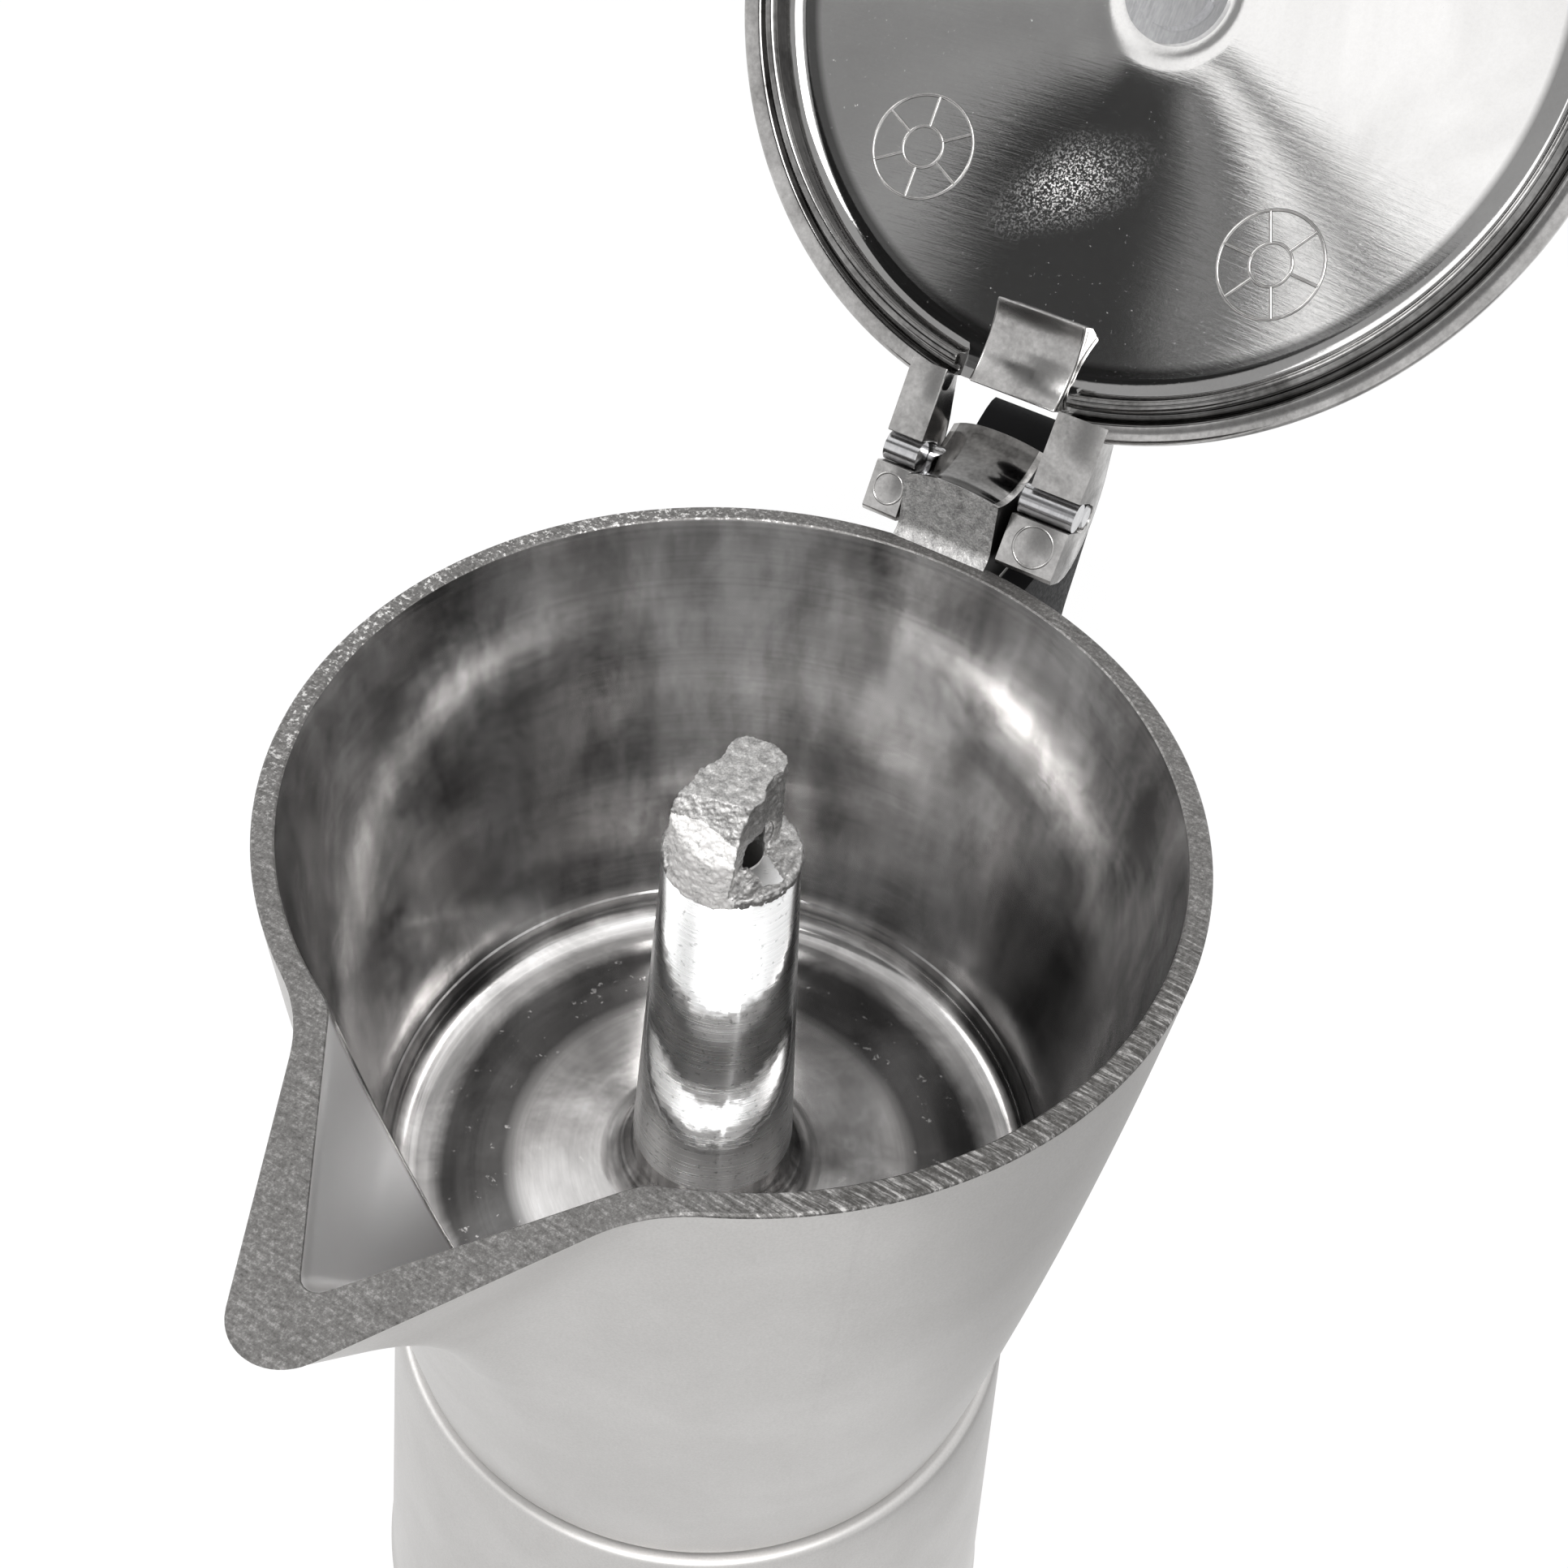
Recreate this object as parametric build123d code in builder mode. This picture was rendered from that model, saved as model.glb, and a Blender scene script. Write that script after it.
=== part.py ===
from build123d import *
from math import asin, cos, pi, radians, sin
import os

# Stove-top moka pot, standing on its base.
# Origin: centre of the base on the table. +Z up, the spout points to -Y, the handle to +Y.
# All sizes in millimetres.

# ---- fits and gaps -------------------------------------------------------------------------
press_gap = 0.02          # radial play of a pin, stud or tube that is pressed or screwed in
running_gap = 0.06        # radial play of the hinge pin in the lid's knuckles
slide_gap = 0.08          # radial play of the valve plunger in its cap
seat_gap = 0.3            # plastic handle against the cast body
thread_gap = 0.5          # neck of the boiler to the skirt screwed on it
lid_gap = 0.3             # locating ring of the lid to the inside of the rim
cut_over = 1.0            # cuts run this far past the faces they open
lid_rest_gap = 0.1        # closed lid above the rim

# ---- boiler --------------------------------------------------------------------------------
base_radius = 48.4
base_corner = 4.0         # the base's edge is cut twice, flatter near the table
base_corner_low = 1.2     # height of the first cut
base_corner_in = 1.0      # how far the first cut stays inside the base's radius
boiler_height = 80.0
boiler_wall = 3.0
boiler_floor = 4.0
shoulder_radius = 42.3
shoulder_chamfer = 1.4
neck_radius = 36.3
neck_wall = 3.8
neck_height = 10.0
shoulder_slope = 9.0      # height of the sloping ceiling inside, under the neck

# ---- safety valve --------------------------------------------------------------------------
valve_height = 50.0
valve_boss_radius = 8.5
valve_boss_length = 1.7
valve_boss_root = 2.4     # the boss reaches this far into the wall
valve_thread_radius = 5.0
valve_hex_flats = 13.0
valve_hex_length = 5.0
valve_seal_thickness = 1.0
valve_seal_radius = 8.0
valve_inlet_radius = 1.6
valve_chamber_radius = 3.2
valve_seat_depth = 7.0    # from the outer end of the hexagon back to the seat
valve_seat_length = 7.0
valve_head_radius = 2.7
valve_head_length = 1.2
valve_stem_radius = 1.1
valve_cap_length = 1.6
valve_cap_lip = 0.6
valve_tip_length = 1.0
valve_tip_chamfer = 0.33
valve_travel = 1.0
spring_wire = 0.5
spring_outer_radius = 2.4

# ---- funnel --------------------------------------------------------------------------------
basket_radius = 30.5
basket_wall = 0.8
basket_depth = 28.0
funnel_flange_radius = 34.5
funnel_flange_thickness = 1.2
funnel_cone_height = 10.0
funnel_spigot_length = 7.0
stem_radius = 4.5
stem_wall = 0.9
stem_floor_gap = 6.0
screen_thickness = 0.8
screen_ledge = 2.5
screen_hole_radius = 1.2
screen_hole_rings = 2

# ---- gasket and filter plate ----------------------------------------------------------------
gasket_radius = 35.9
gasket_inner_radius = 28.5
gasket_thickness = 4.6
filter_radius = 32.5
filter_thickness = 0.8
filter_hole_radius = 1.2
filter_hole_rings = 2

# ---- upper chamber -------------------------------------------------------------------------
rim_height = 174.0
rim_radius = 50.0
rim_wall = 2.5
foot_radius = 40.5        # outer radius where the upper chamber meets the boiler
foot_gap = 0.6            # left open above the boiler's shoulder when screwed tight
belly = 1.0               # how far the wall stands over one straight cone, half way up
dome_height = 6.9         # clear height over the filter plate, under the floor
floor_wall = 2.8          # wall of the chamber at its floor
floor_fillet = 4.0
floor_thickness = 4.5
dome_radius = 29.0
dome_taper = 4.0

# ---- column in the middle of the chamber ---------------------------------------------------
column_base_radius = 10.5
column_top_radius = 7.7
column_fillet = 3.5
column_bore_base = 4.0
column_bore_top = 3.0
collar_drop = 10.0        # the cast head starts this far under the rim
head_rise = 3.6           # its flat bar ends this far above the rim
bar_width = 7.8
bar_length = 13.4
bar_shift = -0.5          # the bar's middle lies this far from the pot's axis, towards +Y
bar_depth = 7.2           # from the bar's top down into the column
flat_drop = 8.4           # foot of the head's two flats, under the rim
ramp_start = 4.8          # the top slopes down in front of this distance
ramp_end = 7.4
ramp_drop = 2.4
outlet_radius = 2.0
outlet_drop = 5.6
outlet_cover = 0.8        # the bore ends this far above the outlets

# ---- spout ---------------------------------------------------------------------------------
spout_reach = 76.0
spout_tip_radius = 5.3
spout_flank_angle = 29.0
spout_blend = 16.0        # concave blend of each flank into the round wall
blend_inset = 0.2         # the blend starts this far inside the round wall
spout_depth = 54.0        # where the keel runs out in the wall
spout_inner_reach = 68.3
spout_inner_tip = 1.5
spout_inner_angle = 35.0
spout_inner_depth = 40.0
spout_inner_root = 47.0   # the channel's cut starts inside the pot
knee_drop = 22.0          # the keel is steeper below its knee
knee_reach = 58.2
run_out_inset = 1.0       # the spout and its channel end this far inside the wall

# ---- hinge ---------------------------------------------------------------------------------
hinge_reach = 58.5
hinge_rise = 5.65
hinge_pin_radius = 1.5
hinge_pin_length = 25.0
hinge_pin_chamfer = 0.3
lug_width = 13.2
lug_back = 63.0
lug_rise = 9.5
lug_front = 50.3
lug_inset = 48.6          # the lug starts this far from the axis, inside the wall
lug_dip = 1.5
lug_round = 10.4          # radius of its underside about the hinge
knuckle_gap = 0.8
knuckle_width = 5.2
knuckle_slot = 2.8        # opening under each knuckle, down to the pin
knuckle_crown = (1.3, 2.95)     # top of the arm, from the hinge axis towards the back and up
knuckle_shoulder = (6.4, 1.35)
knuckle_corner = (8.2, -3.25)
arm_hollow = (-4.0, 1.95)
arm_neck = (-6.8, 0.55)
arm_root = (-11.0, -1.65)
lid_open_angle = 120.2

# ---- handle --------------------------------------------------------------------------------
handle_width = 16.0
handle_edge = 1.5
handle_saddle = 10.9      # radius round the hinge that leaves room for the knuckles
handle_saddle_end = 20.0  # degrees under the hinge where the saddle turns up to the thumb rest
handle_crest = ((71.6, 3.7), (75.0, 4.9), (76.9, 4.1), (76.9, 1.4))
handle_back = ((76.9, 1.4), (76.2, -6.0), (74.0, -14.0), (71.9, -22.0), (72.6, -31.0), (76.0, -43.0),
               (81.5, -58.0), (86.0, -76.0))
handle_end = (82.6, -85.0)
handle_front = ((75.6, -80.0), (73.0, -70.0), (69.0, -56.0), (63.5, -42.0), (57.5, -30.0), (50.0, -22.5),
                (45.0, -20.5))
tang_width = 9.0
tang_start = 47.8
tang_back = 61.5
tang_drop = 16.0
tang_gap = 0.2
pocket_front = 42.8       # the handle's pocket for the tang starts inside the cut for the wall
handle_screw_drop = 11.0
handle_screw_radius = 2.0
handle_screw_head_radius = 3.6
handle_screw_head = 2.4
handle_screw_seat = 69.0  # distance of the screw head's seat from the pot's axis
handle_screw_end = 53.0
driver_slot_width = 0.9
driver_slot_depth = 1.0

# ---- lid, sizes measured up from the rim ---------------------------------------------------
lid_overhang = 0.8        # the flange stands this far outside the rim
lid_flange = 2.9
lid_groove_gap = 0.5      # the groove reaches this far over the rim
lid_groove_top = 1.2
lid_ring_wall = 1.5
lid_ring_drop = 1.6
lid_inner_edge = 2.5      # underside of the plate just inside the ring
lid_inner_top = 8.0       # underside of the plate in the middle
lid_inner_belly = 0.9
lid_flat_radius = 7.5     # flat seat of the knob's washer
lid_plate = 2.6
lid_corner = 0.8
notch_width = 14.4
notch_reach = 48.0
tongue_width = 12.4
tongue_start = 37.7
tongue_end = 50.0
tongue_low = 0.3          # the two ends of the curved tongue
tongue_high = 1.9         # its middle
tongue_plate = 1.2
tongue_web = 10.4
knob_boss_radius = 9.0
knob_boss_height = 1.5

# ---- knob ----------------------------------------------------------------------------------
knob_height = 20.0
knob_foot_radius = 8.5
knob_waist_radius = 6.4
knob_waist_height = 5.5
knob_neck_radius = 9.5
knob_neck_height = 11.0
knob_top_radius = 12.5
knob_top_height = 13.4
knob_rim_height = 15.6
knob_edge_radius = 10.0
knob_edge_height = 18.4
knob_crown_radius = 4.0
knob_screw_radius = 2.2
knob_screw_depth = 12.0
knob_screw_head_radius = 4.4
knob_screw_head = 1.6
knob_washer_radius = 6.0
knob_washer_thickness = 0.8

# ---- worked out from the sizes above -------------------------------------------------------
neck_top = boiler_height + neck_height
neck_bore = neck_radius - neck_wall
funnel_top = neck_top + funnel_flange_thickness
gasket_top = funnel_top + gasket_thickness
ceiling = gasket_top + filter_thickness
floor_height = ceiling + dome_height + floor_thickness
foot_height = boiler_height + foot_gap
skirt_bore = neck_radius + thread_gap
rim_inner = rim_radius - rim_wall
lid_radius = rim_radius + lid_overhang
lid_groove_radius = rim_inner + lid_groove_gap
hinge_height = rim_height + hinge_rise
knuckle_inner = lug_width / 2 + knuckle_gap
knuckle_outer = knuckle_inner + knuckle_width
hinge_axis = Axis((0, hinge_reach, hinge_height), (1, 0, 0))


def boiler_outer(height):
    """Outer radius of the boiler's side wall at a height."""
    side_top = boiler_height - shoulder_chamfer
    return base_radius + (shoulder_radius - base_radius) * height / side_top


def wall_radius(height):
    """Outer radius of the upper chamber at a height: two cones, the lower one slightly wider open."""
    share = (height - foot_height) / (rim_height - foot_height)
    return foot_radius + (rim_radius - foot_radius) * share + 2 * belly * min(share, 1 - share)


def export(piece, name):
    """Label a finished piece and write its STEP file."""
    piece.label = name
    export_step(piece, f"parts/{name}.step")


os.makedirs("parts", exist_ok=True)

# ==== boiler ================================================================================
side_top = boiler_height - shoulder_chamfer
ceiling_start = boiler_height - boiler_wall
boss_face = -(boiler_outer(valve_height) + valve_boss_length)

with BuildPart() as boiler:
    with BuildSketch(Plane.XZ):
        with BuildLine():
            Polyline(
                (0, 0),
                (base_radius - base_corner, 0),
                (base_radius - base_corner_in, base_corner_low),
                (boiler_outer(base_corner), base_corner),
                (shoulder_radius, side_top),
                (shoulder_radius - shoulder_chamfer, boiler_height),
                (neck_radius, boiler_height),
                (neck_radius, neck_top),
                (neck_bore, neck_top),
                (neck_bore, ceiling_start),
                (shoulder_radius - boiler_wall, ceiling_start - shoulder_slope),
                (base_radius - boiler_wall, boiler_floor + base_corner),
                (base_radius - boiler_wall - base_corner, boiler_floor),
                (0, boiler_floor),
                close=True,
            )
        make_face()
    revolve(axis=Axis.Z)
    with BuildSketch(Plane.YZ.offset(boss_face)):
        with Locations((0, valve_height)):
            Circle(valve_boss_radius)
    extrude(amount=valve_boss_length + valve_boss_root)
    with BuildSketch(Plane.YZ.offset(boss_face)):
        with Locations((0, valve_height)):
            Circle(valve_thread_radius)
    extrude(amount=valve_boss_length + 2 * boiler_wall, mode=Mode.SUBTRACT)
export(boiler.part, "boiler")

# ==== safety valve, along -X ================================================================
hex_inner = boss_face - valve_seal_thickness
hex_outer = hex_inner - valve_hex_length
seat_face = hex_outer + valve_seat_depth
body_end = seat_face + valve_seat_length
cap_face = hex_outer + valve_cap_length
spring_start = seat_face - valve_head_length

with BuildPart() as valve_body:
    with BuildSketch(Plane.YZ.offset(hex_outer)):
        with Locations((0, valve_height)):
            RegularPolygon(valve_hex_flats / 2, 6, major_radius=False)
    extrude(amount=valve_hex_length)
    with BuildSketch(Plane.YZ.offset(hex_inner)):
        with Locations((0, valve_height)):
            Circle(valve_thread_radius - press_gap)
    extrude(amount=body_end - hex_inner)
    with BuildSketch(Plane.YZ.offset(hex_outer)):
        with Locations((0, valve_height)):
            Circle(valve_chamber_radius)
    extrude(amount=valve_seat_depth, mode=Mode.SUBTRACT)
    with BuildSketch(Plane.YZ.offset(seat_face)):
        with Locations((0, valve_height)):
            Circle(valve_inlet_radius)
    extrude(amount=valve_seat_length, mode=Mode.SUBTRACT)
export(valve_body.part, "valve_body")

with BuildPart() as valve_seal:
    with BuildSketch(Plane.YZ.offset(hex_inner)):
        with Locations((0, valve_height)):
            Circle(valve_seal_radius)
            Circle(valve_thread_radius + press_gap, mode=Mode.SUBTRACT)
    extrude(amount=valve_seal_thickness)
export(valve_seal.part, "valve_seal")

with BuildPart() as valve_cap:
    with BuildSketch(Plane.YZ.offset(hex_outer)):
        with Locations((0, valve_height)):
            Circle(valve_chamber_radius - press_gap)
    extrude(amount=valve_cap_length)
    with BuildSketch(Plane.YZ.offset(hex_outer)):
        with Locations((0, valve_height)):
            Circle(valve_chamber_radius + valve_cap_lip)
    extrude(amount=-valve_cap_lip)
    with BuildSketch(Plane.YZ.offset(hex_outer - valve_cap_lip)):
        with Locations((0, valve_height)):
            Circle(valve_stem_radius + slide_gap)
    extrude(amount=valve_cap_length + valve_cap_lip, mode=Mode.SUBTRACT)
export(valve_cap.part, "valve_cap")

tip_face = hex_outer - valve_cap_lip - valve_tip_length
with BuildPart() as valve_plunger:
    with BuildSketch(Plane.YZ.offset(spring_start)):
        with Locations((0, valve_height)):
            Circle(valve_head_radius)
    extrude(amount=valve_head_length)
    with BuildSketch(Plane.YZ.offset(tip_face)):
        with Locations((0, valve_height)):
            Circle(valve_stem_radius)
    extrude(amount=spring_start - tip_face)
    chamfer(valve_plunger.faces().sort_by(Axis.X)[0].edges(), valve_tip_chamfer)
export(valve_plunger.part, "valve_plunger")

# envelope of the coil spring, at its shortest, with the valve open
with BuildPart() as valve_spring:
    with BuildSketch(Plane.YZ.offset(cap_face)):
        with Locations((0, valve_height)):
            Circle(spring_outer_radius)
            Circle(spring_outer_radius - spring_wire, mode=Mode.SUBTRACT)
    extrude(amount=spring_start - cap_face - valve_travel)
export(valve_spring.part, "valve_spring")

# ==== funnel: basket, perforated screen and stem ===========================================
basket_inner = basket_radius - basket_wall
basket_floor = funnel_top - basket_depth
screen_seat = basket_floor - screen_thickness
cone_top = screen_seat - basket_wall
cone_bottom = cone_top - funnel_cone_height
spigot_radius = stem_radius + press_gap
spigot_bottom = cone_bottom - funnel_spigot_length

with BuildPart() as funnel_basket:
    with BuildSketch(Plane.XZ):
        with BuildLine():
            Polyline(
                (basket_inner, funnel_top),
                (funnel_flange_radius, funnel_top),
                (funnel_flange_radius, neck_top),
                (basket_radius, neck_top),
                (basket_radius, cone_top),
                (spigot_radius + basket_wall, cone_bottom),
                (spigot_radius + basket_wall, spigot_bottom),
                (spigot_radius, spigot_bottom),
                (spigot_radius, cone_bottom + basket_wall),
                (basket_inner - screen_ledge, cone_top + basket_wall * 0.5),
                (basket_inner - screen_ledge, screen_seat),
                (basket_inner, screen_seat),
                close=True,
            )
        make_face()
    revolve(axis=Axis.Z)
export(funnel_basket.part, "funnel_basket")


def perforated_disc(radius, thickness, height, hole_radius, rings):
    """Flat disc with rings of round holes about its centre."""
    spacing = radius / (rings + 1)
    with BuildPart() as disc:
        with BuildSketch(Plane.XY.offset(height)):
            Circle(radius)
            Circle(hole_radius, mode=Mode.SUBTRACT)
            for ring in range(1, rings + 1):
                with PolarLocations(ring * spacing, 6 * ring):
                    Circle(hole_radius, mode=Mode.SUBTRACT)
        extrude(amount=thickness)
    return disc


funnel_screen = perforated_disc(
    basket_inner - press_gap, screen_thickness, screen_seat, screen_hole_radius, screen_hole_rings
)
export(funnel_screen.part, "funnel_screen")

stem_bottom = boiler_floor + stem_floor_gap
with BuildPart() as funnel_stem:
    with BuildSketch(Plane.XY.offset(stem_bottom)):
        Circle(stem_radius)
        Circle(stem_radius - stem_wall, mode=Mode.SUBTRACT)
    extrude(amount=cone_bottom - stem_bottom)
export(funnel_stem.part, "funnel_stem")

# ==== gasket and filter plate ==============================================================
with BuildPart() as gasket:
    with BuildSketch(Plane.XY.offset(funnel_top)):
        Circle(gasket_radius)
        Circle(gasket_inner_radius, mode=Mode.SUBTRACT)
    extrude(amount=gasket_thickness)
export(gasket.part, "gasket")

filter_plate = perforated_disc(
    filter_radius, filter_thickness, gasket_top, filter_hole_radius, filter_hole_rings
)
export(filter_plate.part, "filter_plate")

# ==== upper chamber ========================================================================
floor_inner = wall_radius(floor_height) - floor_wall
mid_outer = (foot_height + rim_height) / 2
mid_inner = (floor_height + rim_height) / 2
mid_inner_radius = wall_radius(mid_inner) - (rim_wall + floor_wall) / 2
dome_top = floor_height - floor_thickness
collar_height = rim_height - collar_drop
flare = column_fillet * (1 - sin(pi / 4))
corner_bow = floor_fillet * (1 - sin(pi / 4))
corner_lean = (mid_inner_radius - floor_inner) * floor_fillet / (mid_inner - floor_height)
run_out_reach = wall_radius(rim_height - spout_depth) - run_out_inset
channel_end_reach = wall_radius(rim_height - spout_inner_depth) - floor_wall - run_out_inset
upper_keel = Vector(0, spout_reach - knee_reach, -knee_drop)
lower_keel = Vector(0, knee_reach - run_out_reach, knee_drop - spout_depth)
channel = Vector(0, spout_inner_reach - channel_end_reach, -spout_inner_depth)
bore_end = rim_height - outlet_drop + outlet_radius + outlet_cover
bar_top = rim_height + head_rise
lug_top = rim_height + lug_rise
lug_middle = (lug_front + lug_back) / 2
saddle_low = hinge_height - handle_saddle
pocket_top = saddle_low + cut_over


def wedge_outline(reach, tip_radius, flank_angle, root, blend):
    """V-shaped plan outline of the spout, tip towards -Y, blended into a circle of radius root."""
    nx = cos(radians(flank_angle))
    ny = sin(radians(flank_angle))
    tip_y = tip_radius - reach
    flank = tip_radius - ny * tip_y
    turn = asin((flank + blend) / (root + blend)) - radians(flank_angle)
    start = Vector(root * sin(turn), -root * cos(turn))
    centre = Vector((root + blend) * sin(turn), -(root + blend) * cos(turn))
    end = centre - Vector(nx, -ny) * blend
    corner = Vector(tip_radius * nx, tip_y - tip_radius * ny)
    half_turn = radians(90 - flank_angle) / 2
    tip_middle = Vector(tip_radius * sin(half_turn), tip_y - tip_radius * cos(half_turn))
    with BuildSketch() as outline:
        with BuildLine():
            Line((0, start.Y / 2), (start.X / 2, start.Y / 2))
            Line((start.X / 2, start.Y / 2), start)
            if blend > 0:
                middle = centre + ((start + end) / 2 - centre).normalized() * blend
                ThreePointArc(start, middle, end)
            Line(end, corner)
            ThreePointArc(corner, tip_middle, (0, -reach))
            mirror(about=Plane.YZ)
        make_face()
    return outline.sketch


def outer_section(gap):
    """Half section of the upper chamber's outside, or of the space it clears by a gap."""
    with BuildSketch(Plane.XZ) as section:
        with BuildLine():
            Polyline(
                (0, foot_height),
                (foot_radius + gap, foot_height),
                (wall_radius(mid_outer) + gap, mid_outer),
                (rim_radius + gap, rim_height),
                (0, rim_height),
                close=True,
            )
        make_face()
    return section.sketch


with BuildPart() as upper_chamber:
    # round vessel and its spout, which leans back down to a knee and then runs out in the wall
    add(outer_section(0))
    revolve(axis=Axis.Z)
    with BuildSketch(Plane.XY.offset(rim_height)) as spout_top:
        add(
            wedge_outline(
                spout_reach, spout_tip_radius, spout_flank_angle, rim_radius - blend_inset, spout_blend
            )
        )
    extrude(amount=upper_keel.length, dir=upper_keel)
    with BuildSketch(Plane.XY.offset(rim_height - knee_drop)):
        add(spout_top.sketch.moved(Location((0, spout_reach - knee_reach, -rim_height))))
    extrude(amount=lower_keel.length, dir=lower_keel)
    # inside of the vessel and the pouring channel
    with BuildSketch(Plane.XZ):
        with BuildLine():
            Polyline(
                (floor_inner + corner_lean, floor_height + floor_fillet),
                (mid_inner_radius, mid_inner),
                (rim_inner, rim_height),
                (0, rim_height),
                (0, floor_height),
                (floor_inner - floor_fillet, floor_height),
            )
            ThreePointArc(
                (floor_inner - floor_fillet, floor_height),
                (floor_inner - corner_bow, floor_height + corner_bow),
                (floor_inner + corner_lean, floor_height + floor_fillet),
            )
        make_face()
    revolve(axis=Axis.Z, mode=Mode.SUBTRACT)
    with BuildSketch(Plane.XY.offset(rim_height)):
        add(wedge_outline(spout_inner_reach, spout_inner_tip, spout_inner_angle, spout_inner_root, 0))
    extrude(amount=channel.length, dir=channel, mode=Mode.SUBTRACT)
    # threaded skirt, seats of the gasket and the filter plate, domed space above the plate
    with BuildSketch(Plane.XZ):
        with BuildLine():
            Polyline(
                (0, foot_height),
                (skirt_bore, foot_height),
                (skirt_bore, gasket_top),
                (filter_radius + seat_gap, gasket_top),
                (filter_radius + seat_gap, ceiling),
                (dome_radius, ceiling),
                (dome_radius - dome_taper, dome_top),
                (0, dome_top),
                close=True,
            )
        make_face()
    revolve(axis=Axis.Z, mode=Mode.SUBTRACT)
    # column with a flared foot
    with BuildSketch(Plane.XZ):
        with BuildLine():
            Polyline(
                (column_base_radius, floor_height + column_fillet),
                (column_top_radius, collar_height),
                (column_top_radius, rim_height),
                (0, rim_height),
                (0, floor_height - cut_over),
                (column_base_radius + column_fillet, floor_height - cut_over),
                (column_base_radius + column_fillet, floor_height),
            )
            ThreePointArc(
                (column_base_radius + column_fillet, floor_height),
                (column_base_radius + flare, floor_height + flare),
                (column_base_radius, floor_height + column_fillet),
            )
        make_face()
    revolve(axis=Axis.Z)
    # its head: two flats, and a bar on top that slopes down in front
    with BuildSketch(Plane.XY.offset(rim_height - flat_drop)):
        with Locations((column_top_radius + bar_width / 2, 0), (-column_top_radius - bar_width / 2, 0)):
            Rectangle(2 * column_top_radius, 2 * column_base_radius)
    extrude(amount=flat_drop, mode=Mode.SUBTRACT)
    with BuildSketch(Plane.XY.offset(bar_top - bar_depth)):
        with Locations((0, bar_shift)):
            SlotOverall(bar_length, bar_width, rotation=90)
    extrude(amount=bar_depth)
    with BuildSketch(Plane.YZ):
        with BuildLine():
            Polyline(
                (-ramp_start, bar_top),
                (-ramp_end, bar_top),
                (-ramp_end, bar_top - ramp_drop),
                close=True,
            )
        make_face()
    extrude(amount=bar_width, both=True, mode=Mode.SUBTRACT)
    # bore of the column and its two side outlets
    with BuildSketch(Plane.XZ):
        with BuildLine():
            Polyline(
                (0, dome_top - cut_over),
                (column_bore_base, dome_top - cut_over),
                (column_bore_top, bore_end),
                (0, bore_end),
                close=True,
            )
        make_face()
    revolve(axis=Axis.Z, mode=Mode.SUBTRACT)
    with BuildSketch(Plane.YZ):
        with Locations((0, rim_height - outlet_drop)):
            Circle(outlet_radius)
    extrude(amount=column_top_radius + cut_over, both=True, mode=Mode.SUBTRACT)
    # hinge lug
    with BuildSketch(Plane.YZ):
        with BuildLine():
            Polyline(
                (lug_front, lug_top),
                (lug_front, rim_height),
                (lug_inset, rim_height),
                (lug_inset, hinge_height - lug_round),
                (hinge_reach, hinge_height - lug_round),
            )
            RadiusArc(
                (hinge_reach, hinge_height - lug_round),
                (lug_back, hinge_height - (lug_round**2 - (lug_back - hinge_reach) ** 2) ** 0.5),
                -lug_round,
            )
            Line(
                (lug_back, hinge_height - (lug_round**2 - (lug_back - hinge_reach) ** 2) ** 0.5),
                (lug_back, lug_top),
            )
            ThreePointArc((lug_back, lug_top), (lug_middle, lug_top - lug_dip), (lug_front, lug_top))
        make_face()
    extrude(amount=lug_width / 2, both=True)
    with BuildSketch(Plane.YZ):
        with Locations((hinge_reach, hinge_height)):
            Circle(hinge_pin_radius + press_gap)
    extrude(amount=lug_width, both=True, mode=Mode.SUBTRACT)
    # tang that holds the handle
    with BuildSketch(Plane.YZ):
        with BuildLine():
            Polyline(
                (tang_start, hinge_height - lug_round),
                (tang_start, rim_height - tang_drop),
                (tang_back, rim_height - tang_drop),
                (tang_back, hinge_height - lug_round),
                close=True,
            )
        make_face()
    extrude(amount=tang_width / 2, both=True)
    with BuildSketch(Plane.XZ.offset(-handle_screw_end)):
        with Locations((0, rim_height - handle_screw_drop)):
            Circle(handle_screw_radius + press_gap)
    extrude(amount=handle_screw_end - tang_back - cut_over, mode=Mode.SUBTRACT)
export(upper_chamber.part, "upper_chamber")

# ==== hinge pin ============================================================================
with BuildPart() as hinge_pin:
    with BuildSketch(Plane.YZ):
        with Locations((hinge_reach, hinge_height)):
            Circle(hinge_pin_radius)
    extrude(amount=hinge_pin_length / 2, both=True)
    chamfer(hinge_pin.edges(), hinge_pin_chamfer)
export(hinge_pin.part, "hinge_pin")

# ==== handle ===============================================================================
saddle_angle = radians(handle_saddle_end)
saddle_tip = (
    hinge_reach + handle_saddle * cos(saddle_angle),
    hinge_height - handle_saddle * sin(saddle_angle),
)
saddle_middle = (
    hinge_reach + handle_saddle * cos(saddle_angle / 2 + pi / 4),
    hinge_height - handle_saddle * sin(saddle_angle / 2 + pi / 4),
)
crest = [(y, rim_height + rise) for y, rise in handle_crest]
back = [(y, rim_height + rise) for y, rise in handle_back]
front = [(y, rim_height + rise) for y, rise in handle_front]
end_y, end_rise = handle_end

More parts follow.
